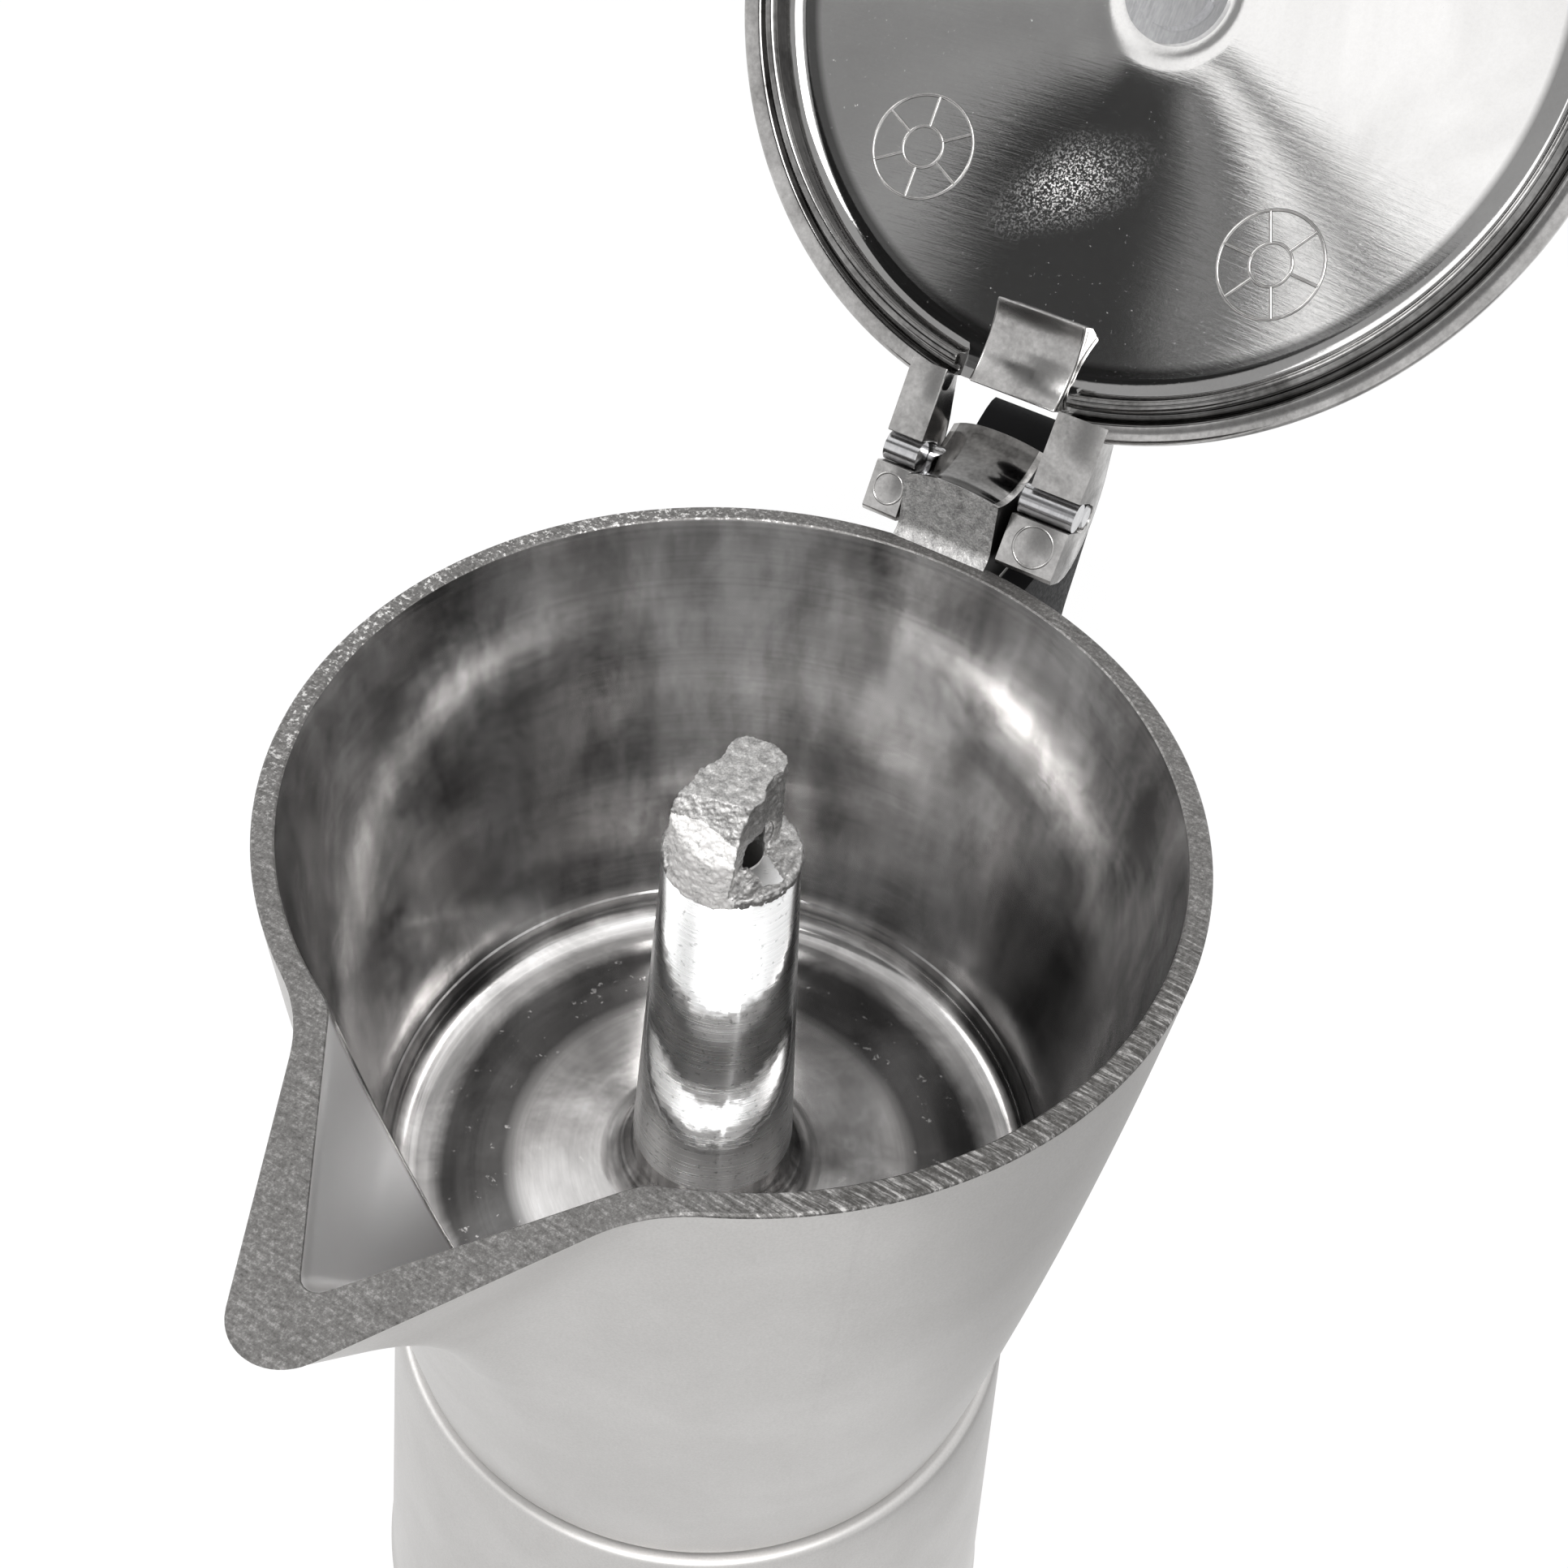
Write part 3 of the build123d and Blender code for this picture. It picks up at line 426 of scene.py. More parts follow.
def polished_wall():
    """Turned and polished inside of the cup: fine rings round the axis, soft upright bands of painted reflection,
    painted shade and painted highlights on the wall, and a painted highlight ring and painted light on the floor.
    """
    mat, tree, shader = new_material("polished_wall")
    x, y, z = split(metres(tree))
    angle = calc("ARCTAN2", y, x)
    radius = calc("SQRT", x * x + y * y)
    # painted reflection: upright bands, noise in angle and long in height, stand in for blurred reflections in the
    # polished wall
    round_y = calc("SINE", angle)
    band_v = combine(tree, X=calc("COSINE", angle), Y=round_y, Z=z * 6.0)
    painted_reflection_bands = noise(band_v, 2.3, 4, 0.55, 0.35)
    fine_painted_reflection_bands = noise(band_v, 14.0, 3, 0.6)
    # fine turned rings
    rings = noise(combine(tree, X=radius * 1500.0, Z=z * 1500.0), 1.0, 3, 0.6)
    blotches = noise(coords(tree), 0.07, 5, 0.65, 0.6)
    # the floor: a dark ring with white specks round a lighter middle that brightens towards the column's foot, and a
    # painted highlight ring at its outer edge
    on_floor = spread(z, (CUP_FLOOR + 0.6) * MM, (CUP_FLOOR + 1.2) * MM, 1.0, 0.0)
    off_floor = 1.0 - on_floor
    painted_reflection_bands = painted_reflection_bands * off_floor + on_floor * 0.5
    fine_painted_reflection_bands = fine_painted_reflection_bands * off_floor + on_floor * 0.5
    tone = painted_reflection_bands * 0.5 + (blotches * 0.28 + (fine_painted_reflection_bands * 0.14 + rings * 0.08))
    wobble = radius * 1000.0 + (blotches - 0.5) * 3.0
    floor_rings_and_painted_highlight = ramp(spread(wobble, 10.0, 40.0),
                [(0.0, 0.95), (0.12, 0.75), (0.48, 0.80), (0.56, 0.20), (0.80, 0.22), (0.87, 1.0)])
    specks = noise(coords(tree), 0.55, 3, 0.7)
    floor_rings_and_painted_highlight = calc("MAXIMUM", floor_rings_and_painted_highlight, spread(specks, 0.62, 0.70, 0.0, 0.9))
    # painted shade: darker patches on the wall at the right, at the left and low at the back:
    # direction in degrees, its cosine from and to, height in metres from and to, strength
    dark = [towards(angle, where, *near) * spread(z, *heights, strength, 0.0) for where, near, heights, strength in (
        (48, (0.90, 0.97), (0.135, 0.155), 0.85), (183, (0.50, 0.95), (0.130, 0.158), 0.50),
        (86, (0.86, 0.97), (0.129, 0.145), 0.50))]
    wall_share_less_painted_shade = off_floor * (1.0 - calc("MAXIMUM", dark[0], calc("MAXIMUM", dark[1], dark[2])))
    # painted light: the floor is made up to 1.7 times lighter towards the left, at 195 degrees round the axis
    share = on_floor * floor_rings_and_painted_highlight * towards(angle, 195, 0.0, 0.8, 1.0, 1.7) + wall_share_less_painted_shade
    feed(shader.inputs["Metallic"], spread(round_y, 0.2, 0.8, 0.92, 0.74))
    # inside the spout, further out than the round wall, the casting keeps its dull skin
    up_share = (z - CUP_FLOOR * MM) / ((RIM - CUP_FLOOR) * MM)
    wall_radius = 41.4 * MM + up_share * (8.3 * MM - up_share * (2.2 * MM))
    channel = off_floor * spread(radius - wall_radius, 0.4 * MM, 1.1 * MM)
    # painted highlights, soft bright patches in the wall's tone: direction in degrees, height, half width and half
    # height in mm, strength
    lift = 0.0
    for where, level, wide, tall, strength in (
            (118, 160, 6.0, 9.0, 0.80), (97, 151, 3.4, 4.0, 0.75),
            (84, 150, 3.6, 5.0, 0.85), (90, 142, 3.4, 3.0, 0.65)):
        du = (angle - math.radians(where)) * (45.5 / wide)
        dv = (z - level * MM) * (1 / MM / tall)
        lift = lift + calc("POWER", spread(calc("SQRT", du * du + dv * dv), 0.0, 1.5, strength, 0.0), 1.6)
    # the painted highlights lighten the wall's tone
    tone = tone + lift * off_floor * 0.12
    tone = tone * (1.0 - channel) + channel * 0.57
    colour = ramp(tone, [(0.38, (0.16, 0.157, 0.155)), (0.5, (0.52, 0.51, 0.504)), (0.61, (0.95, 0.94, 0.935))])
    turned(tree, shader, 0.6)
    coat(shader, vector_calc(tree, "SCALE", colour, Scale=share),
         spread(blotches, 0.3, 0.7, 0.10, 0.20) + channel * 0.26, rings * 0.5 + painted_reflection_bands * 0.5, 0.10, 0.05)
    return mat


def cast_satin():
    """Bead-blasted outside of the castings, light and even."""
    mat, tree, shader = new_material("cast_satin")
    v = coords(tree)
    fine = noise(v, 3.4, 4, 0.7)
    tone = noise(v, 0.05, 5, 0.6, 0.3) * 0.55 + fine * 0.45
    coat(shader, ramp(tone, [(0.3, (0.485, 0.475, 0.465)), (0.7, (0.605, 0.595, 0.585))]),
         spread(fine, 0.3, 0.7, 0.50, 0.40), fine, 0.16, 0.05)
    return mat


def ground_rim():
    """Milled top of the rim: dull, speckled and scratched."""
    mat, tree, shader = new_material("ground_rim")
    v = coords(tree)
    speckle = noise(v, 2.6, 5, 0.75)
    scratch = noise(coords(tree, (0.25, 2.2, 1.0)), 1.0, 4, 0.7, 0.4)
    x, y, _ = split(v)
    angle = calc("ARCTAN2", y, x)
    # lighter grains towards the left and back, darker slanting lines towards the right front
    grains = towards(angle, 165, 0.55, 0.85) * spread(noise(v, 1.3, 3, 0.7), 0.54, 0.64, 0.0, 0.30)
    slant = node(tree, "Mapping", Vector=v, Rotation=(0, 0, math.radians(35)), Scale=(0.22, 2.4, 1.0))
    lines = noise(slant.outputs["Vector"], 1.0, 3, 0.7)
    cuts = towards(angle, -25, 0.70, 0.92) * spread(lines, 0.45, 0.62, 0.16, -0.14)
    tone = speckle * 0.65 + scratch * 0.35 + (grains - cuts)
    coat(shader, ramp(tone, [(0.32, (0.09, 0.087, 0.083)), (0.52, (0.21, 0.205, 0.20)),
                             (0.7, (0.50, 0.49, 0.48)), (0.9, (0.85, 0.84, 0.83))]),
         spread(speckle, 0.3, 0.7, 0.62, 0.36), tone, 0.45, 0.08)
    return mat


def rough_cast(name, metallic, tones):
    """Unfinished cast faces: the head of the column and the front of the lug."""
    mat, tree, shader = new_material(name, metallic)
    v = coords(tree)
    tone = noise(v, 0.9, 5, 0.7, 0.5) * 0.6 + noise(v, 4.5, 3, 0.7) * 0.4
    stops = [(at, (t, t * 0.985, t * 0.97)) for at, t in zip((0.34, 0.5, 0.66), tones)]
    coat(shader, ramp(tone, stops), spread(tone, 0.3, 0.7, 0.48, 0.30), tone, 0.7, 0.25)
    return mat


def brushed_column():
    """Turned column, bright in its upper part and in a ring above its foot."""
    mat, tree, shader = new_material("brushed_column")
    x, y, z = split(metres(tree))
    rings = noise(coords(tree, (0.02, 0.02, 3.2)), 1.0, 4, 0.65)
    flecks = noise(coords(tree), 0.9, 4, 0.6)
    pits = noise(coords(tree), 1.3, 3, 0.6)
    # how far round the column a point lies from the side that faces front and right
    facing = calc("COSINE", calc("ARCTAN2", y, x) - math.radians(-62))
    height = z * 1000.0 + ((1.0 - facing) * -14.0 + (flecks - 0.5) * 5.0)
    lift = ramp(spread(height, CUP_FLOOR, CUP_FLOOR + 60.0),
                [(0.0, 0.0), (0.24, 0.05), (0.33, 0.95), (0.38, 1.0), (0.45, 0.22), (0.55, 0.10),
                 (0.64, 0.30), (0.70, 1.0), (1.0, 1.0)]) * spread(facing, 0.25, 0.6)
    normal = node(tree, "NewGeometry").outputs["Normal"]
    raised = vector_calc(tree, "NORMALIZE", vector_calc(tree, "ADD", normal, combine(tree, Z=lift * 1.25)))
    turned(tree, shader, 0.7)
    coat(shader, spread(rings, 0.3, 0.7, 0.72, 0.92) * spread(pits, 0.60, 0.68, 1.0, 0.6),
         spread(rings, 0.3, 0.7, 0.34, 0.24), rings + flecks * 0.5, 0.3, 0.06, Normal=raised)
    return mat


def mirror_lid():
    """Polished lid: almost a mirror, with hazy patches, pores, fine scratches and one scuffed place."""
    mat, tree, shader = new_material("mirror_lid")
    v = coords(tree)
    haze = noise(v, 0.035, 5, 0.6, 0.8)
    pores = noise(v, 2.2, 5, 0.8)
    scratch = noise(coords(tree, (0.12, 0.12, 2.6)), 1.0, 4, 0.7, 0.5)
    # the place on the closed lid, from that on the turned one
    x, y, z = split(v)
    y, z = y - HINGE_Y, z - HINGE_Z
    along = HINGE_Y + (y * math.cos(LID_ANGLE) + z * math.sin(LID_ANGLE))
    above = HINGE_Z + (z * math.cos(LID_ANGLE) - y * math.sin(LID_ANGLE))
    radius = calc("SQRT", along * along + x * x)
    # the scuffed place, 9.5 mm long and 5.2 mm wide to each side, lies askew
    across, along = x + 4.5, along - 24.0
    long_way = across * (0.80 / 9.5) - along * (0.60 / 9.5)
    short_way = across * (0.60 / 5.2) + along * (0.80 / 5.2)
    far = calc("SQRT", long_way * long_way + short_way * short_way)
    marks = noise(coords(tree, (3.4, 1.6, 4.6)), 1.0, 3, 0.75)
    scuff = spread(far + (haze - 0.5), 0.1, 1.2, 0.9, 0.0) * spread(marks, 0.48, 0.58)
    dull = calc("MAXIMUM", scuff, spread(pores, 0.63, 0.70, 0.0, 0.6))
    tone = haze * 0.75 + pores * 0.25
    # painted shade: darker where the dish turns up into the ring
    painted_ring_shade = spread(radius, 41.7, 42.6, 0.0, 0.70) * spread(above, RIM + 3.3, RIM + 3.7, 1.0, 0.0)
    colour = ramp(tone, [(0.33, (0.82, 0.81, 0.80)), (0.62, (1.0, 0.99, 0.98))])
    coat(shader, vector_calc(tree, "SCALE", colour, Scale=1.0 - painted_ring_shade),
         spread(tone, 0.35, 0.65, 0.075, 0.03) + dull * 0.42, haze * 0.3 + (pores * 0.3 + scratch * 0.4), 0.05, 0.12)
    return mat


M_WALL = polished_wall()
M_SATIN = cast_satin()
M_RIM = ground_rim()
M_CAST = rough_cast("rough_cast", 0.8, (0.18, 0.42, 0.74))
M_COLUMN = brushed_column()
M_LID = mirror_lid()
M_HINGE = metal("polished_hinge", (0.24, 0.235, 0.23), (0.58, 0.57, 0.56), 0.14, 0.28, 1.6, 0.12, 0.05, blotch=0.25)
M_FLANGE = metal("lid_flange", (0.22, 0.215, 0.21), (0.60, 0.59, 0.58), 0.10, 0.20, 1.6, 0.10, 0.04, blotch=0.12)
# painted reflection: the lid's ring gets a near-black tone for the dark things it mirrors
M_RING_PAINTED_DARK = metal("lid_ring_painted_dark", (0.06, 0.058, 0.056), (0.34, 0.335, 0.33), 0.08, 0.18, 1.6, 0.10, 0.04, blotch=0.12)
# painted reflection: the lug's saddle top gets a near-black tone for the dark things it mirrors
M_PAINTED_DARK_REFLECTION = metal("painted_dark_reflection", (0.05, 0.048, 0.046), (0.26, 0.255, 0.25), 0.06, 0.14, 1.6, 0.06, 0.03,
                      blotch=0.22)
# painted shade: a near-black tone for the lug's right side, which lies in shadow
M_PAINTED_SHADE = metal("painted_shade_flank", (0.010, 0.010, 0.010), (0.035, 0.034, 0.033), 0.45, 0.6, 1.6, 0.1, 0.03)
M_FRONT = rough_cast("cast_front", 0.25, (0.42, 0.98, 1.0))
M_STEEL = metal("pin_steel", (0.42, 0.42, 0.43), (0.70, 0.70, 0.71), 0.14, 0.26, 1.4, 0.08, 0.03,
                streaks=(3.0, 0.4, 0.4))
M_SHEET = metal("sheet_aluminium", (0.46, 0.45, 0.44), (0.66, 0.65, 0.64), 0.30, 0.44, 1.8, 0.10, 0.03)
M_BRASS = metal("valve_brass", (0.42, 0.28, 0.10), (0.66, 0.48, 0.20), 0.22, 0.38, 1.6, 0.12, 0.03)
M_INSIDE = metal("boiler_inside", (0.36, 0.35, 0.34), (0.55, 0.54, 0.53), 0.42, 0.58, 2.2, 0.25, 0.06)
M_BLACK = moulded("black_plastic", (0.004, 0.004, 0.0045), (0.0108, 0.0108, 0.01165), 0.75, 0.08, 2.2,
                  0.368, 0.575, 0.1, 0.03, specular=0.08)
M_RUBBER = moulded("seal_rubber", (0.62, 0.60, 0.56), (0.6944, 0.672, 0.6272), 0.7, 0.12, 3.0,
                   0.55, 0.75, 0.12, 0.04)


# ---- upper chamber: the vessel with its spout ----
def smax(a, b, k):
    """Larger of two, with a rounded change-over k wide."""
    h = np.maximum(k - np.abs(a - b), 0) / k
    return np.maximum(a, b) + h * h * k / 4


def wall_outer(z):
    """Outer radius of the round cup."""
    share = (z - FOOT) / (RIM - FOOT)
    return 40.5 + 9.5 * share + 4.0 * share * (1 - share)


def wall_inner(z):
    """Inner radius of the round cup."""
    share = (z - CUP_FLOOR) / (RIM - CUP_FLOOR)
    return 41.4 + 6.1 * share + 2.2 * share * (1 - share)


def wedge(off_axis, reach, tip, flank_degrees):
    """Distance from the pot's axis to a V-shaped tip, by the angle off the spout's direction."""
    centre, flank = reach - tip, math.radians(flank_degrees)
    turn = math.atan2(tip * math.cos(flank), centre + tip * math.sin(flank))
    straight = (tip + centre * math.sin(flank)) / np.sin(np.minimum(off_axis + flank, math.pi / 2))
    near = np.minimum(off_axis, turn)
    rounded = centre * np.cos(near) + np.sqrt(np.maximum(tip ** 2 - (centre * np.sin(near)) ** 2, 0))
    return np.where(off_axis < turn, rounded, straight)


def spout_reach(depth):
    """How far the spout's outside reaches from the axis, at a depth below the rim."""
    upper = 76.0 - 0.809 * depth
    lower = 58.2 - 0.42 * (depth - 22.0)
    return float(smax(upper, lower, 5.0))


# angles off the spout, closer together near its tip; both sides from the spout round to the back
half = np.concatenate([np.arange(0, 6, 0.4), np.arange(6, 36, 0.75), np.arange(36, 180, 1.5), [180.0]])
off = np.radians(np.concatenate([half, -half[-2:0:-1]]))
theta = off - math.pi / 2
OFF = np.abs(off)


def outer_ring(z):
    depth = RIM - z
    tip = wedge(OFF, spout_reach(depth), 5.3, 29.0) - max(0, depth - 44) * 0.25
    return smax(np.full_like(OFF, wall_outer(z)), tip, 3.8 + depth * 0.05)


def inner_ring(z):
    depth = RIM - z
    tip = wedge(OFF, 68.3 - 0.63 * depth, 1.6, 35.0) - max(0, depth - 34) * 0.3
    return smax(np.full_like(OFF, wall_inner(z)), tip, 0.9)


# rows from the foot up the outside, over the rim, down the inside, over the floor and up the column:
# radii, height, material number (0 satin, 1 polished wall, 2 rim, 3 column)
ones = np.ones_like(OFF)
rows = [(ones * 40.2, FOOT, 0), (ones * 40.55, FOOT + 0.35, 0)]
rows += [(outer_ring(z), z, 0) for z in np.linspace(FOOT + 0.8, RIM - 0.5, 64)]
out_top, in_top = outer_ring(RIM), inner_ring(RIM)
rows += [(out_top - 0.05, RIM - 0.22, 2), (out_top - 0.28, RIM, 2)]
rows += [(out_top + (in_top - out_top) * s, RIM, 2) for s in (0.3, 0.5, 0.7)]
rows += [(in_top + 0.22, RIM, 2), (in_top + 0.04, RIM - 0.18, 1)]
rows += [(inner_ring(z), z, 1) for z in np.linspace(RIM - 0.45, 112.2, 54)]
floor_line = arc(37.45, 112.0, 4.2, 0, -90, 7)
floor_line += [(34.0, 107.8), (33.4, 107.98), (30.0, CUP_FLOOR), (24.0, 108.02), (18.0, CUP_FLOOR)]
floor_line += arc(14.4, 112.2, 4.2, -90, -176, 7)
rows += [(ones * r, z, 1) for r, z in floor_line]
rows += [(ones * r, z, 3) for r, z in ((10.05, 115.0), (9.5, 126.0), (8.9, 138.0), (8.3, 150.0), (7.8, 160.0),
                                      (7.55, 166.3), (7.4, 166.6), (3.4, 166.6))]
verts = [(*around(0, 0, r, t), z) for radii, z, _ in rows for r, t in zip(radii, theta)]
vessel = mesh_from("vessel", verts, skin(len(rows), len(theta)))
for p in vessel.data.polygons:
    row = p.index // len(theta)
    # the rim's material starts one row early
    p.material_index = 2 if rows[row + 1][2] == 2 else rows[row][2]
sharpen(vessel, 28)
paint(vessel, M_SATIN, M_WALL, M_RIM, M_COLUMN)
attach(vessel, "top")
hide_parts("upper_chamber")


SKIRT_POINTS, BOILER_POINTS = 160, 192  # round each ring


def threaded_rings(rows, count, depth, start=0.0):
    """Points of rings round the axis; rows hold a radius, a height and whether the thread runs there."""
    verts = []
    for radius, z, cut in rows:
        for i, a in enumerate(circle(count)):
            wave = math.sin(2 * math.pi * ((z / PITCH + start + i / count) % 1.0))
            r = radius + (depth * max(0.0, wave) ** 0.7 if cut else 0.0)
            verts.append((*around(0, 0, r, a), z))
    return verts


# skirt with its thread, seats and domed space, and the bore of the column
skirt_rows = [(40.25, FOOT, 0), (37.4, FOOT, 0)] + [(36.8, FOOT + 0.5 + 0.38 * i, 1) for i in range(37)]
skirt_rows += [(36.8, 95.3, 0), (36.8, 95.8, 0), (32.9, 95.8, 0), (32.9, 96.6, 0), (29.3, 96.6, 0), (28.8, 97.0, 0),
               (26.2, 102.0, 0), (24.6, 103.4, 0), (22.5, 103.6, 0), (4.6, 103.6, 0), (4.1, 104.2, 0), (3.4, 166.8, 0)]
skirt = mesh_from("skirt", threaded_rings(skirt_rows, SKIRT_POINTS, 0.5),
                  [(a, d, c, b) for a, b, c, d in skin(len(skirt_rows), SKIRT_POINTS)])
sharpen(skirt, 40)
place(skirt, "top", "cast_body", M_INSIDE)


# ---- head of the column ----
def roughen(obj, amount, scale, seed):
    """Moves points along their normals by noise; amount and scale in mm."""
    mesh = obj.data
    flat = np.empty(3 * len(mesh.vertices))
    mesh.vertices.foreach_get("co", flat)
    points = flat.reshape(-1, 3)
    normals = np.empty_like(flat)
    mesh.vertices.foreach_get("normal", normals)
    shift = Vector((seed, seed * 0.7, -seed))
    moved = [mathutils_noise.noise(q) + 0.5 * mathutils_noise.noise(q * 2.1)
             for q in (Vector(p) * (1000 / scale) + shift for p in points)]
    points = points + normals.reshape(-1, 3) * np.array(moved)[:, None] * amount * MM
    mesh.vertices.foreach_set("co", points.ravel())
    mesh.update()


def voxel(obj, size):
    """Remeshes to a fine even skin, smoothed once."""
    modify(obj, "REMESH", mode="VOXEL", voxel_size=size * MM)
    modify(obj, "SMOOTH", iterations=1, factor=0.5)
    for p in obj.data.polygons:
        p.use_smooth = True


head_foot = RIM - 8.6
head = lathe("column_head", [(0, head_foot), (7.62, head_foot), (7.72, RIM - 7.6), (7.45, RIM - 7.2), (0, RIM - 7.2)],
             96)
bar_plan = [(x, -math.sqrt(7.75 ** 2 - x ** 2)) for x in np.linspace(-4.1, 4.1, 15)]
lobe = [(4.3, -3.0), (4.0, -1.2), (3.4, 0.2), (3.1, 1.2), (3.1, 2.4), (3.4, 3.8), (3.1, 5.0), (2.2, 5.9), (1.0, 6.3)]
bar_plan += lobe + [(-x, y) for x, y in reversed(lobe)]
bar = mesh_from("bar", [(x, y, z) for z in (head_foot, RIM + 3.6) for x, y in bar_plan], capped(len(bar_plan)))
fix_normals(bar)
boolean(head, bar, "UNION")
for side in (-1, 1):
    low, high = Vector((side * 8.9, -3.2, RIM - 7.4)), Vector((side * 10.3, -3.2, RIM + 5))
    boolean(head, cylinder("scoop", low, high - low, 6.4, (high - low).length, 96))
    boolean(head, cylinder("outlet", (side * 1.6, 1.0, RIM - 5.1), (side * 0.87, -0.49, 0), 2.6, 5.5, 48))
# sloping front of the bar, lower on its right side
start, end, top = (Vector((x, y, RIM + z)) for x, y, z in ((-4.0, -6.7, 1.3), (3.6, -6.7, -1.7), (-1.5, -4.4, 3.6)))
across = (end - start).normalized()
outward = across.cross(top - start).normalized()
upward = outward.cross(across)
corners = [start + across * a * 20 + upward * b * 9 for a, b in ((-1, -1), (1, -1), (1, 1), (-1, 1))]
facet = mesh_from("facet", [tuple(c + outward * k) for k in (0, 14) for c in corners], capped(4))
fix_normals(facet)
boolean(head, facet)
bore = lathe("bore", [(0, RIM - 10), (3.4, RIM - 10), (3.35, RIM - 4.2), (2.6, RIM - 3.2), (0, RIM - 2.9)], 48)
boolean(head, bore)
voxel(head, 0.15)
roughen(head, 0.16, 0.9, 3.0)
roughen(head, 0.08, 0.4, 9.0)
paint(head, M_CAST, M_FRONT)
for p in head.data.polygons:
    x, y, z = (c / MM for c in p.center)
    p.material_index = 1 if p.normal.y < -0.35 and y < -5.6 and abs(x) < 4.2 and z < RIM + 1.6 else 0
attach(head, "top")

# ---- hinge lug and tang ----
lug_left, lug_right = -7.9, 4.4  # the lug sits off the middle, against the left arm
lug_middle = (lug_left + lug_right) / 2
lug_round = 10.4  # radius of its lower back, round the hinge
lug_foot = HINGE_Z - lug_round
lug_arc = [(HINGE_Y + lug_round * math.sin(a), HINGE_Z - lug_round * math.cos(a)) for a in np.linspace(0, 0.447, 7)]
lug_verts = []
stations = np.linspace(lug_left, lug_right, 17)
for x in stations:
    share = (x - lug_middle) / (lug_right - lug_middle)
    top = RIM + 9.4 - 0.7 * share ** 2 - 0.6 * max(0.0, -share) ** 4
    crest = [(y, top - 1.7 * (1 - ((y - 56.65) / 6.35) ** 2)) for y in np.linspace(63.0, 50.3, 13)]
    front = [(50.3, RIM + 1.6), (49.9, RIM + 0.7), (49.2, RIM + 0.15), (48.6, RIM - 0.3), (48.6, lug_foot)]
    outline = front + lug_arc + crest
    lug_verts += [(x, y, z) for y, z in outline]
n, last = len(outline), len(lug_verts) - len(outline)
lug = mesh_from("hinge_lug", lug_verts,
                skin(len(stations), n) + [tuple(reversed(range(n))), tuple(range(last, last + n))])
fix_normals(lug)
boolean(lug, cylinder("hole", (-12, HINGE_Y, HINGE_Z), X_AXIS, 1.53, 24))
bevel(lug, 0.4, 3, 38)
paint(lug, M_HINGE, M_CAST, M_PAINTED_DARK_REFLECTION, M_PAINTED_SHADE)
for p in lug.data.polygons:
    x, y, z = (c / MM for c in p.center)
    # the saddle top takes the painted dark reflection
    if p.normal.z > 0.7 and 50.8 < y < 62.5 and lug_left + 0.5 < x < lug_right - 0.5 and z > RIM + 4:
        p.material_index = 2
    # the right side takes the painted shade
    elif p.normal.x > 0.9:
        p.material_index = 3
    else:
        p.material_index = 1 if p.normal.y < -0.5 else 0
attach(lug, "top")

tang = prism("handle_tang", [(47.9, lug_foot), (47.9, RIM - 16), (61.5, RIM - 16), (61.5, lug_foot)], -4.5, 4.5)
boolean(tang, cylinder("hole", (0, 53, RIM - 11), Y_AXIS, 2.03, 12))
bevel(tang, 0.4, 2)
place(tang, "top", "cast_body", M_SATIN)

# ---- lid, drawn closed and turned open ----
def lid_underside(r):
    """Height over the rim of the lid's underside inside its ring."""
    s = np.clip((r - 7.5) / 38.2, 0, 1)
    return float(8.0 - 5.5 * s ** 1.25)


under = [(r, lid_underside(r)) for r in np.linspace(7.5, 44.6, 26)]
lid_profile = [(2.3, 8.0), (6.4, 8.0), (7.1, 7.98)] + under
lid_profile += [(45.35, 2.2), (45.62, 1.6), (45.7, 0.8), (45.72, -0.9)] + arc(46.45, -0.85, 0.75, 180, 360, 8)[1:]
lid_profile += [(47.2, 0.7), (47.22, 1.05), (47.35, 1.18), (47.7, 1.2), (47.9, 1.1), (48.0, 0.85), (48.05, 0.6)]
lid_profile += arc(48.75, 0.8, 0.68, 200, 265, 4) + arc(49.94, 0.95, 0.85, 275, 360, 6) + [(50.79, 1.6)]
lid_profile += arc(49.69, 1.75, 1.1, 0, 80, 7)[1:]
lid_profile += [(48.6, 3.12), (46.0, 3.75), (40.0, 5.1), (33.0, 6.85), (26.0, 8.5), (18.0, 9.85), (12.0, 10.45),
                (9.7, 10.6), (9.15, 10.75), (9.0, 11.1), (9.0, 11.8), (8.75, 12.07), (8.4, 12.1), (2.3, 12.1)]
lid = lathe("lid_shell", [(r, RIM + z) for r, z in lid_profile], 256)
boolean(lid, block("notch", 47.9, 60, RIM - 4, RIM + 9, -8.15, 7.2))
boolean(lid, block("ring_gap", 44.2, 48.5, RIM - 4, RIM + 2.3, -7.2, 7.2))
bevel(lid, 0.2, 3, 45)
paint(lid, M_LID, M_FLANGE, M_RING_PAINTED_DARK)
for p in lid.data.polygons:
    x, y, z = (c / MM for c in p.center)
    r = math.hypot(x, y)
    p.material_index = 0 if r < 44.9 or z > RIM + 2.3 else 1 if r > 48.7 else 2  # dish, flange, ring
open_lid(lid)
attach(lid, "cover")
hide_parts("lid")

